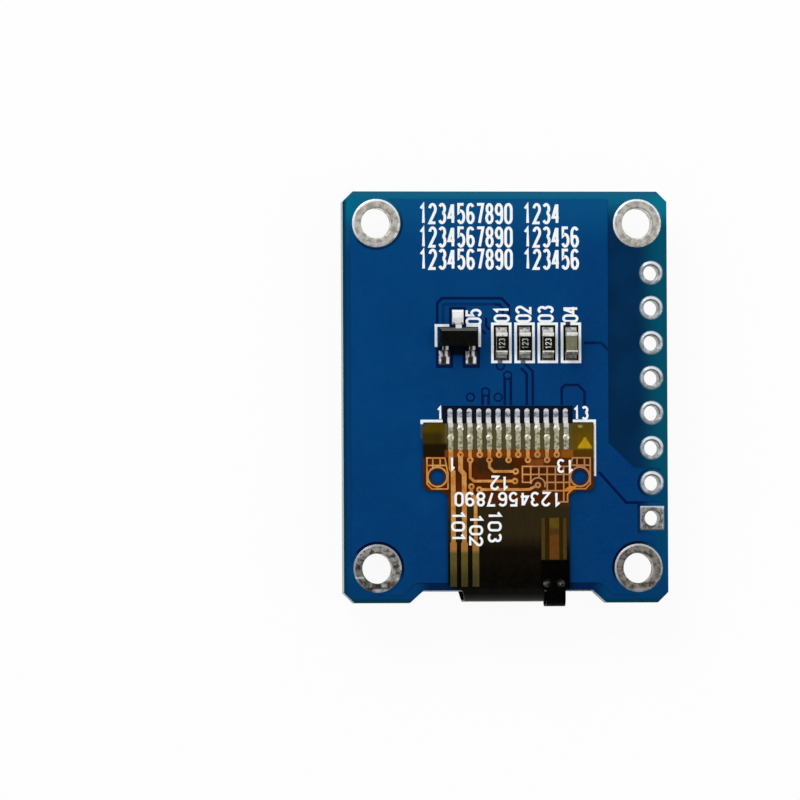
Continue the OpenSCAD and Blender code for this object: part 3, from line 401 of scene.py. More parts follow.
# %% Carrier board
FAR = 40
BOARD_MIDDLE = BOARD_FACE - 0.8
MASK_GLOSS = 0.06
FIBRE_SHARE = 0.5
CHIP_COLUMNS = (-0.435, 1.255, 2.945, 4.635)
CHIP_ROW = 3.82
SHADE_WIDE, SHADE_TALL = 0.66, 1.36
CHIP_SHADE = [((x - SHADE_WIDE, x + SHADE_WIDE, CHIP_ROW - SHADE_TALL, CHIP_ROW + SHADE_TALL),
               0.12, (7, 12, 18)) for x in CHIP_COLUMNS]
MASK_SHADE = CHIP_SHADE + [((-5.0, -2.1, 2.9, 3.75), 0.3, (4, 14, 30))]
# Patches on the upper face. Most are painted light: the teal towards the cut edges stands for light that comes
# in through the laminate. The strips at the transistor's track are a painted highlight on its inner edge. The
# band along the notch is painted shade beside the film's fold, and the area between the lands is bare laminate
# darkened further with painted shade.
BOARD_PATCHES = [
    ((-6.2, 6.4, -1.0, 7.6), 0.3, (2, 27, 78)),
    ((-4.85, -0.9, 6.42, 6.82), 0.1, (4, 50, 102)),
    ((-4.85, -4.42, 3.5, 6.8), 0.1, (4, 50, 102)),
    ((6.5, 11.0, -8.2, -5.4), 0.3, (0, 22, 76)),
    ((-11.4, -7.6, -13.2, -10.3), 0.4, (0, 16, 46)),
    ((7.5, 11.3, -13.2, -10.3), 0.4, (0, 16, 46)),
    ((-4.85, 4.85, -4.2, -0.65), 0.1, (14, 18, 34)),
    ((10.3, FAR, -FAR, FAR), 2.0, (0, 78, 102)),
    ((10.4, FAR, -13.0, -6.0), 1.0, (0, 66, 106)),
    ((-FAR, FAR, 13.4, FAR), 2.4, (8, 100, 134)),
    ((10.4, FAR, 12.9, FAR), 1.6, (6, 112, 138)),
    ((-FAR, -11.0, -FAR, FAR), 0.2, (1, 60, 109)),
    ((-FAR, -11.0, 10.9, FAR), 1.4, (4, 78, 120)),
    ((-FAR, -10.8, 12.7, FAR), 1.6, (0, 104, 136)),
    ((-FAR, -9.5, -FAR, -12.5), 0.6, (2, 66, 107)),
    ((9.5, FAR, -FAR, -12.5), 1.0, (0, 66, 106)),
    ((-6.7, 7.1, -14.6, -13.2), 0.5, (0, 30, 70)),
    ((-FAR, -6.2, -FAR, -13.2), 1.3, (1, 58, 106)),
    ((6.6, FAR, -FAR, -13.2), 1.3, (1, 58, 104)),
    ((-FAR, FAR, 14.55, FAR), 0.3, (30, 92, 124)),
    ((-FAR, -11.72, -FAR, FAR), 0.3, (4, 50, 80)),
    ((-FAR, FAR, -FAR, -14.72), 0.3, (0, 52, 76)),
]


def laminate_finish():
    material, tree, skin, at = finish("masked laminate", Specular_IOR_Level=MASK_GLOSS)
    wall = use(tree, "facing")["Wall"]
    mask = between(tree, grain(tree, at, 2.5), (1, 38, 72), (1, 45, 84))
    upper = ease(tree, at["Z"], BOARD_MIDDLE - 0.1, BOARD_MIDDLE + 0.1)
    mask = blend_of(tree, upper, mask, paint(tree, at, mask, BOARD_PATCHES + MASK_SHADE))
    waves = {"Vector": at["Point"], "Scale": 1.2, "Distortion": 3.0, "Detail Scale": 4.0}
    layers = place(tree, "TexWave", waves, bands_direction="Z").outputs["Fac"]
    fibre = grain(tree, at, 0.15)
    bare = between(tree, layers, (164, 178, 176), (196, 206, 200))
    bare = blend_of(tree, product(tree, fibre, FIBRE_SHARE), bare, shade(136, 158, 158))
    rough = ease(tree, wall, 0.0, 1.0, 0.4, 0.8)
    fill(tree, skin, {"Base Color": blend_of(tree, wall, mask, bare), "Roughness": rough})
    bump(tree, skin, fibre, 0.004)
    return material


dress(laminate_finish(), "printed_board")

# %% [markdown]
# Copper under the mask lifts it by a few hundredths of a millimetre and makes it a clearer blue. The pour, its
# tracks and the gaps between them are real relief in the model, so the material needs the slow drift of the
# blue across the board, the fine orange peel of sprayed mask and a satin gloss, and besides these painted
# light, paler towards the top and right edges as if light came through the laminate, and painted shade between
# the chips.

# %% Masked copper
DRIFT = 0.02
# Painted light: paler and more teal towards the top and right edges, as if light came in through the laminate.
POUR_PATCHES = [
    ((-FAR, FAR, 12.4, FAR), 3.6, (5, 78, 128)),
    ((10.8, FAR, -FAR, -5.2), 1.0, (0, 68, 104)),
]


def masked_copper_finish():
    material, tree, skin, at = finish("masked copper", Specular_IOR_Level=MASK_GLOSS)
    rise = product(tree, math_of(tree, "SUBTRACT", at["Y"], at["X"]), DRIFT)
    tone = ease(tree, math_of(tree, "ADD", rise, grain(tree, at, 4.0, -0.2, 0.2)), -0.45, 0.45)
    blue = between(tree, tone, (1, 53, 106), (1, 63, 118))
    blue = blend_of(tree, grain(tree, at, 0.2, 0.0, 0.18), blue, shade(3, 76, 132))
    blue = paint(tree, at, blue, POUR_PATCHES + MASK_SHADE)
    fill(tree, skin, {"Base Color": blue, "Roughness": grain(tree, at, 1.1, 0.34, 0.48)})
    bump(tree, skin, grain(tree, at, 0.35), 0.003)
    return material


dress(masked_copper_finish(), "back_copper")

# %% [markdown]
# Bare copper is dipped in molten tin and blown level with hot air, which leaves pads that are flat in the
# middle and rounded at their rims. Where a pad surrounds a hole, the distance from the hole's middle tells rim,
# flat and hole edge apart: a painted highlight makes the rim brightest towards the window, painted shade makes
# it dull on the far side, and the hole's edge has painted shade on the window's side. The plated walls are
# mirrors that see the white floor; on the small pads they are painted darker, as shade. On the small pads, blue
# mask creeps over the rim. The two lower pads at the corners were scraped, so they are darker and blotched.

# %% Tinned pads
# The first hole's place and the pitch, along X and along Y, and the radius of hole and pad.
CORNER_HOLES, CORNER_RADII = ((9.5, 19), (12.5, 25)), (1.1, 1.75)
HEADER_HOLES, HEADER_RADII = ((10.5, FAR), (1.27, 2.54)), (0.55, 0.875)
SQUARE_BELOW = -7.6
# Tones are dull, bright, the rim's painted highlight and the hole edge's painted shade. A patch of wear or of
# painted light has its own first three.
CORNER_TONES = ((158, 154, 145), (220, 217, 208), (232, 235, 242), (84, 80, 74))
CORNER_WEAR = [
    ((-FAR, 0, -FAR, -9.5), 1.0, (44, 43, 40), (172, 170, 162), (150, 150, 162)),
    ((-11.3, -9.8, -14.2, -12.2), 0.5, (22, 22, 19), (132, 130, 120), (150, 150, 162)),
    ((-9.75, -8.55, -14.02, -13.45), 0.4, (2, 2, 4), (62, 60, 58), (60, 60, 64)),
    ((-9.9, -8.7, -14.4, -14.02), 0.12, (120, 126, 126), (196, 196, 194), (190, 190, 196)),
    ((-9.2, -8.82, -13.84, -13.6), 0.26, (150, 156, 152), (232, 238, 234), (232, 238, 234)),
    ((0, FAR, -FAR, -9.5), 1.0, (60, 55, 51), (150, 144, 136), (182, 180, 186)),
    ((-8.6, -8.25, -13.82, -13.42), 0.2, (86, 62, 44), (158, 116, 84), (140, 112, 92)),
    ((-11.15, -10.5, -13.24, -13.1), 0.08, (166, 166, 174), (206, 206, 212), (214, 214, 220)),
    ((8.0, 11.0, -14.4, -13.98), 0.2, (120, 116, 116), (176, 172, 172), (200, 198, 204)),
    ((7.75, 8.4, 13.0, 13.2), 0.1, (200, 206, 208), (228, 232, 234), (240, 244, 248)),
    ((-10.2, -9.0, 10.9, 11.1), 0.1, (180, 182, 192), (214, 216, 226), (220, 222, 232)),
]
HEADER_TONES = ((134, 142, 146), (200, 207, 210), (226, 235, 240), (88, 91, 88))
SQUARE_TIN = ((84, 82, 80), (178, 176, 172))
# The square pad's own tin, and painted light on its rim: a highlight on the top edge, painted shade on the
# right and bottom edges.
SQUARE_TIN_AND_RIM_LIGHT = [
    ((-FAR, FAR, -FAR, SQUARE_BELOW), 0.1, *SQUARE_TIN, (232, 238, 244)),
    ((-FAR, 9.8, -FAR, -8.2), 0.06, *SQUARE_TIN, (176, 176, 186)),
    ((11.2, FAR, -FAR, -8.2), 0.06, *SQUARE_TIN, (140, 146, 138)),
    ((-FAR, FAR, -FAR, -9.6), 0.06, *SQUARE_TIN, (126, 124, 124)),
]
MASK_EDGE = (40, 70, 96)
# Painted shade: the small pads' plated walls are darker than their faces.
WALL_SHADE = (150, 152, 148)
SQUARE_RIM = 0.12
RIM_SOFT = 0.06
# A hole's edge in painted shade: where it starts and is full, outside the hole, its lean and the part that it
# spans.
EDGE_START, EDGE_FULL = 0.13, 0.05
EDGE_LEAN, EDGE_LOW, EDGE_HIGH = 0.5, -0.3, 0.7
# The far rim's painted shade: where it starts and is full, inside the pad's outline, and how dark it is.
FAR_START, FAR_FULL, FAR_SHADE = 0.16, 0.06, 0.25
# Mask creeps this far past the outline, and this much of it stays on the lit side.
CREEP_PAST, CREEP_LIT = 0.02, 0.7
FLAT_METAL = 0.3
PAD_SIZES, PAD_DEPTH = (0.42, 0.1, 0.3, 0.5), 0.01


def tin_skin(tree, skin, at, tones, sizes, depth, wear_and_light=(), over=(), **masks):
    """Feed a shader from the tin effect. Sizes are those of clouds and pits, then smooth and rough."""
    sockets = dict(zip(("Dull", "Bright", "Rim", "Bore"), (shade(*t) for t in tones)))
    for which, label in ((2, "Dull"), (3, "Bright"), (4, "Rim")):
        patches = [(w[0], w[1], w[which]) for w in wear_and_light if len(w) > which]
        sockets[label] = paint(tree, at, sockets[label], patches)
    sockets.update(zip(("Cloud", "Pit", "Smooth", "Rough"), sizes))
    sockets.update({label.replace("_", " "): mask for label, mask in masks.items()})
    tin = use(tree, "tin", {"Point": at["Point"], **sockets})
    colour = tin["Colour"]
    for mask, tone in over:
        colour = blend_of(tree, mask, colour, shade(*tone))
    fill(tree, skin, {"Base Color": colour, "Roughness": tin["Roughness"]})
    bump(tree, skin, tin["Height"], depth)


def nearest(tree, value, first, pitch):
    """Distance from the nearest of a row of places that are one pitch apart."""
    return math_of(tree, "WRAP", math_of(tree, "SUBTRACT", value, first), pitch / 2, -pitch / 2)


def pad_finish(name, holes, radii, square_below, tones, wear_and_light, rim_w, lean, lit_from, lit_to, dark, creep):
    """Tin round plated holes: lean, lit_from and lit_to say which part of the rim the window lights."""
    material, tree, skin, at = finish(name)
    hole_r, pad_r = radii
    x, y = (nearest(tree, at[way], *row) for way, row in zip("XY", holes))
    radius = math_of(tree, "SQRT", math_of(tree, "ADD", product(tree, x, x), product(tree, y, y)))
    side = math_of(tree, "MAXIMUM", *(math_of(tree, "ABSOLUTE", v) for v in (x, y)))
    cornered = math_of(tree, "LESS_THAN", at["Y"], square_below)
    rounded = math_of(tree, "SUBTRACT", 1.0, cornered)
    reach = math_of(tree, "ADD", product(tree, side, cornered), product(tree, radius, rounded))
    towards = math_of(tree, "ADD", y, product(tree, x, lean))
    lit = math_of(tree, "MAXIMUM", ease(tree, towards, lit_from * pad_r, lit_to * pad_r), cornered)
    start = math_of(tree, "SUBTRACT", reach, product(tree, cornered, rim_w - SQUARE_RIM))
    rim = ease(tree, start, pad_r - rim_w, pad_r - rim_w + RIM_SOFT)
    wall = use(tree, "facing")["Wall"]
    slant = math_of(tree, "ADD", y, product(tree, x, EDGE_LEAN))
    edge = product(tree, ease(tree, radius, hole_r + EDGE_START, hole_r + EDGE_FULL, 0.0, dark),
                   math_of(tree, "SUBTRACT", 1.0, wall),
                   ease(tree, slant, EDGE_LOW * hole_r, EDGE_HIGH * hole_r))
    far_rim = product(tree, ease(tree, reach, pad_r - FAR_START, pad_r - FAR_FULL),
                      ease(tree, lit, 0.0, 1.0, FAR_SHADE, 0.0))
    # Painted light: a highlight on the rim towards the window; painted shade on the hole's edge and on the far
    # rim.
    masks = {"Rim_mask": product(tree, rim, lit), "Bore_mask": math_of(tree, "MAXIMUM", edge, far_rim)}
    over = []
    if creep:
        kept = ease(tree, lit, 0.0, 1.0, 1.0, CREEP_LIT)
        crept = product(tree, ease(tree, reach, pad_r - creep, pad_r + CREEP_PAST), kept)
        over = [(crept, MASK_EDGE), (wall, WALL_SHADE)]
    tin_skin(tree, skin, at, tones, PAD_SIZES, PAD_DEPTH, wear_and_light, over, **masks)
    fill(tree, skin, {"Metallic": ease(tree, wall, 0.0, 1.0, FLAT_METAL, 1.0)})
    return material


corner_tin = pad_finish("corner pad tin", CORNER_HOLES, CORNER_RADII, -FAR, CORNER_TONES, CORNER_WEAR,
                        rim_w=0.16, lean=-0.4, lit_from=-0.9, lit_to=0.3, dark=0.5, creep=0)
header_tin = pad_finish("header pad tin", HEADER_HOLES, HEADER_RADII, SQUARE_BELOW, HEADER_TONES, SQUARE_TIN_AND_RIM_LIGHT,
                        rim_w=0.28, lean=0.25, lit_from=0.1, lit_to=0.8, dark=1.0, creep=0.14)
dress(corner_tin, "mounting_pads")
dress(header_tin, "header_pads")

# %% [markdown]
# Solder on the joints is the same metal, brighter and smoother. It is whitest at the ends of the lands and
# fingers and on the transistor's upper land. On the transistor's two lower legs, painted reflections lay a dark
# wedge that widens towards the foot between bright flanks, and painted shade darkens each foot's tip. End caps
# are plated silver, frosty white, with painted highlights along their inner edges and painted shade on the
# lower caps, and the fillets below them are painted brighter on the side of the window and darker at their
# outer ends.
# The two old joints on the black tail are dark, with a painted glint on each. All of these use the tin effect
# with their own tones and sizes, and slopes and walls get tones of their own, as painted light and shade.

# %% Lands, solder, caps and leads
WHITE_TIN = ((226, 228, 230), (255, 255, 255))
DARK_REFLECTION = ((8, 7, 7), (60, 57, 55))
LAND_ENDS = [
    ((-FAR, FAR, -1.16, -0.6), 0.1, *WHITE_TIN),
    ((-FAR, FAR, -2.2, -1.58), 0.1, *WHITE_TIN),
]
LEG_COLUMNS = (-4.575, -2.625)
# Bottom, top and half the wedge's width, for the foot and for the shank above it.
LEG_PARTS = ((2.0, 2.85, 0.2), (2.8, 3.7, 0.1))
LEG_HALF, WEDGE_SHIFT, FLANK = 0.55, 0.07, 0.2
# Painted reflections on the transistor's lower legs: a dark wedge between bright flanks, and painted shade at
# each foot's tip.
LEG_SHEEN_AND_SHADE = [((-4.3, -2.9, 4.6, 7.0), 0.1, *WHITE_TIN, (255, 255, 255))]
for leg in LEG_COLUMNS:
    for low, high, wedge in LEG_PARTS:
        left, right = leg - WEDGE_SHIFT - wedge, leg - WEDGE_SHIFT + wedge
        LEG_SHEEN_AND_SHADE += [
            ((leg - LEG_HALF, left, low, high), 0.12, (112, 110, 110), (255, 255, 255), (216, 214, 212)),
            ((left, right, low, high), 0.12, *DARK_REFLECTION, (40, 38, 36)),
            ((right, right + FLANK, low + 0.12, high), 0.1, *WHITE_TIN, (255, 255, 255)),
            ((right + FLANK, leg + LEG_HALF, low, high), 0.08, *DARK_REFLECTION, (60, 58, 58)),
        ]
    LEG_SHEEN_AND_SHADE += [((leg - 0.6, leg + 0.6, 2.0, 2.32), 0.1, (10, 20, 44), (36, 44, 62), (24, 32, 50))]
# Painted shade on the lower caps, darkest on the capacitor's, and painted highlights along the caps' inner
# edges.
CAP_SHEEN_AND_SHADE = [
    ((-FAR, FAR, -FAR, CHIP_ROW), 0.1, (84, 82, 74), (184, 182, 170)),
    ((3.8, FAR, -FAR, CHIP_ROW), 0.1, (48, 47, 43), (118, 116, 106)),
    ((-FAR, FAR, CHIP_ROW + 0.55, CHIP_ROW + 0.74), 0.08, (236, 236, 228), (255, 255, 255)),
    ((-FAR, FAR, CHIP_ROW - 0.68, CHIP_ROW - 0.48), 0.08, (216, 216, 208), (255, 255, 255)),
]
# A painted glint on each old joint.
OLD_JOINT_GLINTS = [
    ((2.5, 2.88, -13.86, -13.46), 0.25, (24, 24, 22), (168, 170, 163)),
    ((3.64, 4.06, -14.0, -13.52), 0.3, (24, 24, 22), (168, 170, 163)),
]
# Painted light on the fillets: brighter on the window's side, with painted shade at their outer ends.
FILLET_SHEEN_AND_SHADE = [
    ((-FAR, FAR, CHIP_ROW, FAR), 0.1, (4, 4, 4), (255, 255, 250), (160, 160, 152)),
    ((-FAR, FAR, CHIP_ROW + 1.1, FAR), 0.06, (4, 4, 4), (120, 120, 114), (50, 50, 47)),
    ((-FAR, FAR, -FAR, CHIP_ROW - 1.1), 0.06, (4, 4, 4), (70, 70, 66), (36, 36, 34)),
]
SLOPE_SHARE = 0.6
# Name, tones, sizes, depth of the bump, patches of wear and of painted light, metallic, and the nodes that wear
# it.
TIN_FINISHES = [
    ("land tin", ((108, 112, 130), (208, 213, 226), (244, 246, 252), (120, 122, 130)), (0.22, 0.07, 0.25, 0.45),
     0.006, LAND_ENDS + LEG_SHEEN_AND_SHADE, 0.35, ["flex_lands", "component_lands"]),
    ("finger tin", ((122, 117, 86), (226, 221, 190), (190, 187, 154), (120, 115, 88)), (0.2, 0.07, 0.3, 0.5),
     0.006, [((-FAR, FAR, -2.3, 0), 0.1, *WHITE_TIN)], 0.45, ["flex_fingers"]),
    ("joint solder", ((140, 137, 114), (240, 238, 224), (196, 194, 172), (150, 147, 126)),
     (0.2, 0.07, 0.25, 0.45), 0.006, [((-FAR, FAR, -2.3, 0), 0.1, *WHITE_TIN)], 0.45, ["flex_solder"]),
    ("transistor solder", ((214, 216, 218), (255, 255, 255), (236, 236, 234), (150, 148, 144)),
     (0.25, 0.06, 0.2, 0.4), 0.008, LEG_SHEEN_AND_SHADE, 0.1, ["transistor_solder"]),
    ("formed lead", ((60, 58, 56), (170, 168, 164), (110, 108, 104), (70, 68, 66)), (0.16, 0.07, 0.2, 0.4),
     0.01, LEG_SHEEN_AND_SHADE, 0.2, ["transistor_leads"]),
    ("end cap tin", ((132, 131, 120), (255, 255, 248), (246, 246, 238), (150, 148, 134)), (0.32, 0.1, 0.3, 0.5),
     0.006, CAP_SHEEN_AND_SHADE, 0.25,
     ["resistor_1_caps", "resistor_2_caps", "resistor_3_caps", "capacitor_caps"]),
    ("fillet solder", ((4, 4, 4), (214, 212, 204), (104, 104, 98), (60, 58, 55)), (0.34, 0.1, 0.25, 0.45),
     0.01, FILLET_SHEEN_AND_SHADE, 0.3, ["chip_solder"]),
    ("old solder", ((2, 2, 2), (34, 35, 33), (8, 8, 7), (4, 4, 4)), (0.3, 0.1, 0.45, 0.65),
     0.012, OLD_JOINT_GLINTS, 1.0, ["tail_solder"]),
]


def tin_finish(name, tones, sizes, depth, wear_and_light, metallic):
    material, tree, skin, at = finish(name, Metallic=metallic)
    faces = use(tree, "facing")
    # Slopes take the rim tone and walls the bore tone: painted light and shade by the way a face points.
    masks = {"Rim_mask": product(tree, faces["Slope"], SLOPE_SHARE), "Bore_mask": faces["Wall"]}
    tin_skin(tree, skin, at, tones, sizes, depth, wear_and_light, **masks)
    return material


for *look, wearers in TIN_FINISHES:
    dress(tin_finish(*look), *wearers)
print("tin finishes", [look[0] for look in TIN_FINISHES])

# %% [markdown]
# The chips are ceramic blocks. A resistor's top is coated with a near-black glaze, and its white alumina shows
# at the sides. The capacitor is a tan block all through. The transistor is moulded epoxy, black with a fine
# sandy skin, with a painted highlight along the bevel that faces the window.

# %% Chips and moulding
CLOUD_RATIO = 4


def plain_finish(name, dark, light, size, smooth, rough, depth, back=None, patches=(), **sockets):
    """A finish with a slow change of colour, and a fine grain in its roughness and height."""
    material, tree, skin, at = finish(name, **sockets)
    fine = grain(tree, at, size)
    colour = between(tree, grain(tree, at, size * CLOUD_RATIO), dark, light)
    if back:
        colour = blend_of(tree, use(tree, "facing")["Back"], colour, shade(*back))
    colour = paint(tree, at, colour, patches)
    fill(tree, skin, {"Base Color": colour, "Roughness": ease(tree, fine, 0.0, 1.0, smooth, rough)})
    bump(tree, skin, fine, depth)
    return material


alumina = plain_finish("white alumina", (150, 148, 138), (176, 174, 164), size=0.08, smooth=0.6, rough=0.8,
                       depth=0.003)
glaze = plain_finish("black glaze", (6, 6, 6), (16, 16, 15), size=0.12, smooth=0.3, rough=0.45, depth=0.003,
                     Specular_IOR_Level=0.12)
tan_ceramic = plain_finish("tan ceramic", (104, 105, 82), (124, 124, 98), size=0.1, smooth=0.45, rough=0.65,
                           depth=0.003, Specular_IOR_Level=0.2)
# The bevel facing the window gets a painted highlight.
moulding = plain_finish("black moulding", (4, 4, 4), (11, 11, 9), size=0.07, smooth=0.5, rough=0.75,
                        depth=0.006, back=(84, 85, 82), Specular_IOR_Level=0.05)
for number in (1, 2, 3):
    dress(alumina, f"resistor_{number}_chip")
    dress(glaze, f"resistor_{number}_coat")
dress(tan_ceramic, "capacitor_chip")
dress(moulding, "transistor_body")

# %% [markdown]
# White legend is thick screen ink: matt, slightly uneven, and worn thin in a few places. The frames and
# brackets are solids of the model already. The printed numbers are made here. A digit is a pen path on a grid
# one wide and two high, and each path becomes a thin raised ribbon with mitred corners, which follows a
# printer's stroke more closely than an outline font would. Rows run along the board, turned to face the way
# that they are read.

# %% Digit strokes
def arc(x, y, rx, ry, start, end, steps=10):
    """Points along part of an ellipse, angles in degrees."""
    turns = [math.radians(start + (end - start) * i / steps) for i in range(steps + 1)]
    return [(x + rx * math.cos(t), y + ry * math.sin(t)) for t in turns]


HOOK = arc(0.5, 1.46, 0.5, 0.54, 30, 180) + [(0, 0.55)]
DIGITS = {
    "0": [(arc(0.5, 1.5, 0.5, 0.5, 0, 180) + arc(0.5, 0.5, 0.5, 0.5, 180, 360), True)],
    "1": [([(0.12, 1.55), (0.55, 2), (0.55, 0)], False)],
    "2": [(arc(0.5, 1.5, 0.5, 0.5, 170, -35) + [(0, 0), (1, 0)], False)],
    "3": [(arc(0.5, 1.53, 0.46, 0.47, 150, -75), False), (arc(0.5, 0.55, 0.5, 0.55, 75, -150), False)],
    "4": [([(0.72, 0), (0.72, 2)], False), ([(0.6, 1.95), (0, 0.6), (1, 0.6)], False)],
    "5": [([(0.95, 2), (0.1, 2), (0.06, 1.1)] + arc(0.48, 0.65, 0.52, 0.65, 120, -150), False)],
    "6": [(HOOK, False), (arc(0.5, 0.55, 0.5, 0.55, 0, 360)[:-1], True)],
    "7": [([(0, 2), (1, 2), (0.4, 0)], False)],
    "8": [(arc(0.5, 1.52, 0.44, 0.48, 0, 360)[:-1], True), (arc(0.5, 0.52, 0.5, 0.52, 0, 360)[:-1], True)],
    "9": [([(1 - x, 2 - y) for x, y in HOOK], False), (arc(0.5, 1.45, 0.5, 0.55, 0, 360)[:-1], True)],
}
print("digits", "".join(DIGITS))

# %% [markdown]
# A ribbon needs two points beside each point of its path. Each pair lies on the line that halves the corner,
# and moves out by half the pen's width, a little more at a bend so that the stroke keeps its width. The pairs
# then make a top, a bottom, two sides and, where the path is open, two ends.

# %% Number rows
def ribbon(points, closed, width, low, high, corners, faces):
    """Add one raised stroke along a path to lists of corners and faces."""
    count = len(points)
    first = len(corners)
    for i, here in enumerate(points):
        before = points[i - 1] if i or closed else here
        after = points[(i + 1) % count] if i < count - 1 or closed else here
        legs = [(q - p).normalized() for p, q in ((before, here), (here, after)) if (q - p).length > 0]
        along = sum(legs, Vector((0, 0))).normalized()
        reach = width / 2 / max(0.5, abs(along.dot(legs[0])))
        aside = Vector((-along.y, along.x)) * reach
        left, right = here + aside, here - aside
        corners += [(*left, low), (*right, low), (*right, high), (*left, high)]
    for i in range(count if closed else count - 1):
        a, b = first + 4 * i, first + 4 * ((i + 1) % count)
        faces += [(a + j, a + (j + 1) % 4, b + (j + 1) % 4, b + j) for j in range(4)]
    if not closed:
        last = first + 4 * (count - 1)
        faces += [(first + 3, first + 2, first + 1, first), (last, last + 1, last + 2, last + 3)]


def number_piece(name, rows, low, high, ink):
    """One mesh of digit rows: text, start of the baseline, turn in degrees, style."""
    corners, faces = [], []
    for text, start, degrees, (tall, advance, wide, line) in rows:
        turn = Matrix.Rotation(math.radians(degrees), 2)
        for place_in_row, digit in enumerate(text):
            for layer, (path, closed) in enumerate(DIGITS.get(digit, [])):
                points = [Vector(start) + turn @ Vector((place_in_row * advance + u * wide, v * tall / 2))
                          for u, v in path]
                ribbon(points, closed, line, low, high - layer * INK_STEP, corners, faces)
    mesh = bpy.data.meshes.new(name)
    mesh.from_pydata([Vector(c) * MM for c in corners], [], faces)
    piece = bpy.data.objects.new(name, mesh)
    bpy.context.scene.collection.objects.link(piece)
    mesh.materials.append(ink)
    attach(piece, "root")
    print(name, "strokes' faces", len(faces))


INK = 0.02
INK_STEP = 0.001
WORN_INK = [
    ((-6.8, -5.9, -3.4, -2.05), 0.12, (40, 64, 84)),
    ((-0.72, -0.36, 2.1, 2.7), 0.1, (88, 106, 120)),
    ((0.96, 1.32, 2.1, 2.7), 0.1, (88, 106, 120)),
    ((4.24, 4.6, 5.0, 5.36), 0.08, (12, 36, 70)),
]
# Height, advance, width and line of a digit, in millimetres.
BOARD_STYLE = (1.34, 0.69, 0.42, 0.2)
ROW_START = -6.3
BOARD_ROWS = [("1234567890 1234", 12.52), ("1234567890 123456", 10.82), ("1234567890 123456", 9.21)]
legend_ink = plain_finish("legend ink", (240, 248, 251), (255, 255, 255), size=0.1, smooth=0.5, rough=0.7,
                          depth=0.004, patches=WORN_INK)
dress(legend_ink, "legend_print")
mask_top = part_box("back_copper")[1].z / MM
number_piece("board_numbers", [(text, (ROW_START, base), 0, BOARD_STYLE) for text, base in BOARD_ROWS],
             mask_top, mask_top + INK, legend_ink)

# %% [markdown]
# Each chip has its number beside it, turned a quarter, and the row of lands has its first and last number. The
# film carries numbers of its own, which stand on their heads because it was printed before it was folded, and
# the resistors have a very small code on their glaze.

# %% Small numbers
CHIP_STYLE, LAND_STYLE = (1.0, 0.62, 0.42, 0.18), (0.86, 0.6, 0.36, 0.16)
FILM_END_STYLE, FILM_SIDE_STYLE = (0.86, 0.66, 0.42, 0.16), (0.86, 0.8, 0.56, 0.17)
FILM_ROW_STYLE, FILM_PAIR_STYLE = (0.9, 0.79, 0.5, 0.17), (0.9, 0.74, 0.48, 0.17)
MARK_STYLE = (0.4, 0.26, 0.17, 0.06)
CHIP_LABELS = [("05", (-1.95, 5.16)), ("01", (0.1, 5.38)), ("02", (1.68, 5.38)), ("03", (3.3, 5.38)),
               ("04", (5.1, 5.38))]
LAND_LABELS = [("1", (-5.1, -1.7)), ("13", (4.85, -1.7))]
FILM_ROWS = [
    ("1", (-3.88, -4.5), 180, LAND_STYLE),
    ("13", (4.72, -4.68), 180, FILM_END_STYLE),
    ("1234567890", (3.78, -7.06), 180, FILM_ROW_STYLE),
    ("12", (0.0, -5.88), 180, FILM_PAIR_STYLE),
    ("101", (-4.08, -8.4), 270, FILM_SIDE_STYLE),
    ("102", (-2.78, -8.68), 270, FILM_SIDE_STYLE),
    ("103", (-1.43, -8.4), 270, FILM_SIDE_STYLE),
]
COPPER_RISE = 0.03
MARK_RIGHT, MARK_DOWN = 0.2, 0.42
number_piece("chip_numbers", [(text, spot, 90, CHIP_STYLE) for text, spot in CHIP_LABELS],
             mask_top, mask_top + INK, legend_ink)
number_piece("land_numbers", [(text, spot, 0, LAND_STYLE) for text, spot in LAND_LABELS],
             mask_top, mask_top + INK, legend_ink)
film_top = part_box("flex_copper")[1].z / MM
number_piece("film_numbers", FILM_ROWS, film_top - COPPER_RISE, film_top + INK, legend_ink)
glaze_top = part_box("resistor_1_coat")[1].z / MM
mark_ink = plain_finish("mark ink", (136, 136, 126), (200, 200, 188), size=0.06, smooth=0.5, rough=0.7,
                        depth=0.002, patches=[((2.3, 3.6, 0, FAR), 0.1, (224, 224, 208))])
number_piece("resistor_marks", [("123", (x + MARK_RIGHT, CHIP_ROW - MARK_DOWN), 90, MARK_STYLE)
                                for x in CHIP_COLUMNS[:3]], glaze_top, glaze_top + INK / 2, mark_ink)

# %% [markdown]
# The flexible circuit is amber film, and what shows through it changes along its length: olive between the
# tinned fingers, orange where the film has no copper below, brown under the cover, and nearly black where it
# goes down to the fold. Each of these is a soft-edged patch of colour, laid over the one before. Two patches
# are
# painted light: a small highlight right of the fingers, and a sheen on the lower part of the fold's curve. A
# yellow triangle shows through on the right, a mark for lining the film up, and fine streaks come from its
# rolling.

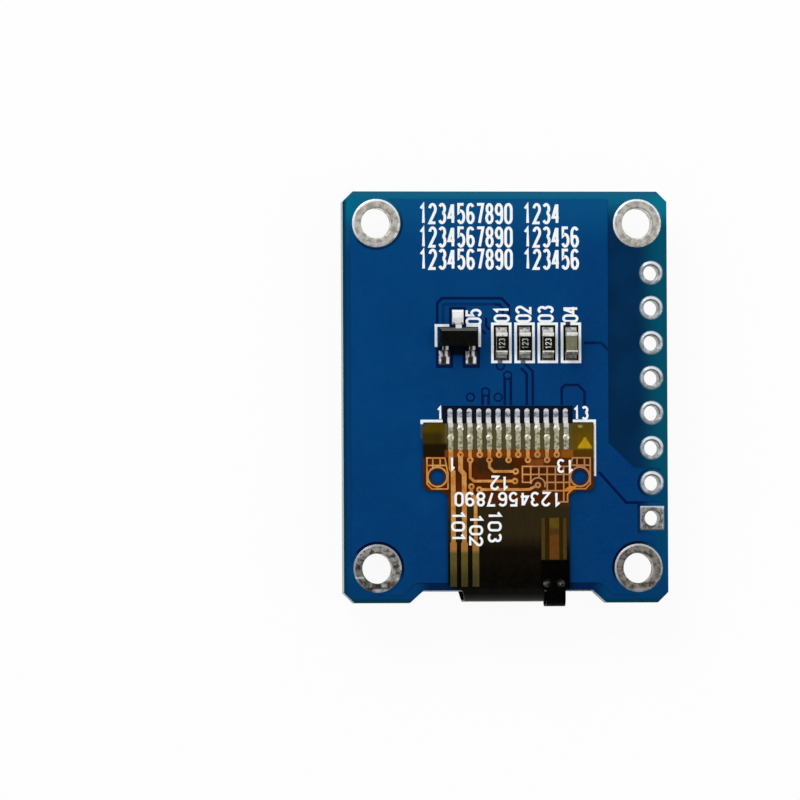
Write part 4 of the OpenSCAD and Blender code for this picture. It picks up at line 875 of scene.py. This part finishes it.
# %% Film
FILM_PATCHES = [
    ((-7, 7, -3.93, 0), 0.08, (84, 78, 50)),
    ((-7, -4.62, -3.5, 0), 0.25, (80, 64, 2)),
    ((-7, -4.7, -3.5, -2.7), 0.5, (56, 43, 6)),
    ((-7, -4.4, -4.5, -3.45), 0.3, (30, 20, 2)),
    ((4.62, 7, -3.0, 0), 0.2, (88, 70, 13)),
    ((4.62, 7, -4.0, -2.75), 0.4, (100, 75, 8)),
    # A painted highlight on the film, right of the fingers.
    ((5.12, 5.42, -2.32, -2.16), 0.16, (168, 150, 92)),
    ((-4.6, 4.8, -4.5, -3.95), 0.12, (118, 58, 14)),
    ((3.9, 4.8, -4.5, -3.95), 0.2, (142, 80, 18)),
    ((4.75, 6.3, -4.5, -3.98), 0.15, (86, 56, 2)),
    ((1.4, 2.6, -5.2, -4.6), 0.3, (128, 66, 26)),
    ((-2.2, 0.3, -5.6, -4.5), 0.4, (58, 35, 14)),
    ((-7, 7, -FAR, -7.95), 0.5, (46, 37, 18)),
    ((-7, -1.8, -FAR, -9.0), 0.4, (29, 30, 18)),
    ((-7, 7, -FAR, -10.6), 1.6, (13, 8, 2)),
    ((-7, 7, -FAR, -12.4), 1.2, (6, 4, 1)),
    ((2.6, 4.2, -11.95, -8.9), 0.35, (50, 33, 1)),
    # The fold's curve: black where it turns under, with a painted sheen on its lower part.
    ((-7, 7, -FAR, -14.0), 0.3, (12, 12, 9)),
    ((-7, 7, -FAR, -14.55), 0.5, (38, 38, 34)),
]
MARK_X, MARK_LOW, MARK_TOP = 5.6, -3.84, -3.04
MARK_HALF, MARK_TIP, MARK_SOFT = 0.52, 0.1, 0.06
STREAK_SQUEEZE = (8.0, 1.0, 1.0)


def film_finish():
    material, tree, skin, at = finish("amber film", Specular_IOR_Level=0.07)
    cloud = grain(tree, at, 1.2)
    colour = between(tree, cloud, (64, 28, 2), (86, 37, 2))
    colour = paint(tree, at, colour, FILM_PATCHES)
    aside = math_of(tree, "ABSOLUTE", math_of(tree, "SUBTRACT", at["X"], MARK_X))
    room = math_of(tree, "SUBTRACT", ease(tree, at["Y"], MARK_LOW, MARK_TOP, MARK_HALF, MARK_TIP), aside)
    mark = product(tree, ease(tree, room, -MARK_SOFT, MARK_SOFT),
                   ease(tree, at["Y"], MARK_LOW - MARK_SOFT, MARK_LOW + MARK_SOFT),
                   ease(tree, at["Y"], MARK_TOP + MARK_SOFT, MARK_TOP - MARK_SOFT))
    colour = blend_of(tree, mark, colour, shade(184, 149, 15))
    squeezed = place(tree, "VectorMath", {0: at["Point"], 1: STREAK_SQUEEZE}, operation="MULTIPLY").outputs[0]
    streak = use(tree, "grain", {"Point": squeezed, "Size": 2.0, "Low": 0.0, "High": 0.16})["Value"]
    colour = blend_of(tree, streak, colour, shade(4, 3, 1))
    fill(tree, skin, {"Base Color": colour, "Roughness": grain(tree, at, 0.3, 0.3, 0.45)})
    bump(tree, skin, cloud, 0.008)
    return material


dress(film_finish(), "flex_film")

# %% [markdown]
# The copper in the film is bright where only thin amber covers it and dull where the cover is thick. It is
# etched from one foil, so all of it is one material, with patches again for what covers it.

# %% Film copper
COPPER_PATCHES = [
    ((1.8, 7, -8.5, -4.2), 0.2, (190, 134, 82)),
    ((3.9, 4.95, -7.3, -6.35), 0.4, (216, 136, 46)),
    ((-7, -1.8, -FAR, -10.4), 0.6, (172, 116, 52)),
    ((-7, -1.8, -FAR, -11.3), 0.4, (96, 84, 34)),
    ((-7, -1.8, -FAR, -12.6), 1.6, (64, 56, 18)),
    ((1.5, 5.5, -13, -8.7), 0.1, (72, 57, 10)),
    ((2.9, 3.75, -9.75, -8.75), 0.3, (96, 74, 2)),
    ((2.9, 3.75, -10.2, -9.6), 0.3, (78, 50, 0)),
    ((2.9, 3.75, -12.0, -10.1), 0.3, (102, 58, 0)),
]


def film_copper_finish():
    material, tree, skin, at = finish("copper under amber", Metallic=0.25, Specular_IOR_Level=0.3)
    colour = between(tree, grain(tree, at, 0.6), (198, 124, 44), (222, 162, 92))
    colour = paint(tree, at, colour, COPPER_PATCHES)
    fine = grain(tree, at, 0.15)
    fill(tree, skin, {"Base Color": colour, "Roughness": ease(tree, fine, 0.0, 1.0, 0.35, 0.55)})
    bump(tree, skin, fine, 0.004)
    return material


dress(film_copper_finish(), "flex_copper")
tail_film = plain_finish("black film", (0, 0, 0), (4, 2, 1), size=0.2, smooth=0.35, rough=0.55, depth=0.006,
                         Specular_IOR_Level=0.03)
dress(tail_film, "backlight_tail")
print("copper patches", len(COPPER_PATCHES))

# %% [markdown]
# Under the board lies the display. From its face: a dark polarizer, two thin glasses with a bare driver chip on
# the lower one's ledge, a rim of black tape, and the backlight, a white frame with a stack of films over a
# clear light guide. White tape holds it all to the board. Only the edges and the face show, so their finishes
# stay simple: slow clouds of tone and a fine grain, each at the gloss of its own material.

# %% Display
polarizer = plain_finish("polarizer", (11, 11, 13), (17, 17, 20), size=0.8, smooth=0.2, rough=0.28, depth=0.002)
glass = plain_finish("display glass", (200, 222, 214), (214, 232, 226), size=1.0, smooth=0.02, rough=0.05,
                     depth=0.0005, Transmission_Weight=1.0)
dress(polarizer, "front_polarizer", "rear_polarizer")
dress(glass, "front_glass", "rear_glass")
# Name, dark and light tone, grain size, smooth and rough, depth of the bump, and the nodes that wear it.
DISPLAY_FINISHES = [
    ("bare silicon", (52, 52, 58), (70, 70, 78), 0.2, 0.15, 0.25, 0.002, ["driver_chip"]),
    ("black tape", (14, 14, 14), (24, 24, 24), 0.15, 0.5, 0.7, 0.004, ["rim_tape"]),
    ("white frame", (226, 226, 220), (240, 240, 236), 0.3, 0.4, 0.55, 0.004, ["backlight_frame"]),
    ("optical film", (214, 220, 226), (232, 236, 240), 0.4, 0.25, 0.4, 0.002,
     ["prism_film_1", "prism_film_2", "diffuser_film", "light_guide"]),
    ("silver film", (205, 208, 212), (226, 228, 230), 0.5, 0.25, 0.35, 0.002, ["reflector"]),
    ("lamp phosphor", (226, 210, 120), (240, 226, 150), 0.3, 0.4, 0.6, 0.004, ["backlight_leds"]),
    ("white tape", (222, 222, 216), (238, 238, 234), 0.3, 0.55, 0.75, 0.005, ["mounting_tape"]),
]
for *look, wearers in DISPLAY_FINISHES:
    dress(plain_finish(*look), *wearers)
print("dressed", sum(1 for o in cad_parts.values() if o.data.materials), "of", len(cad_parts))
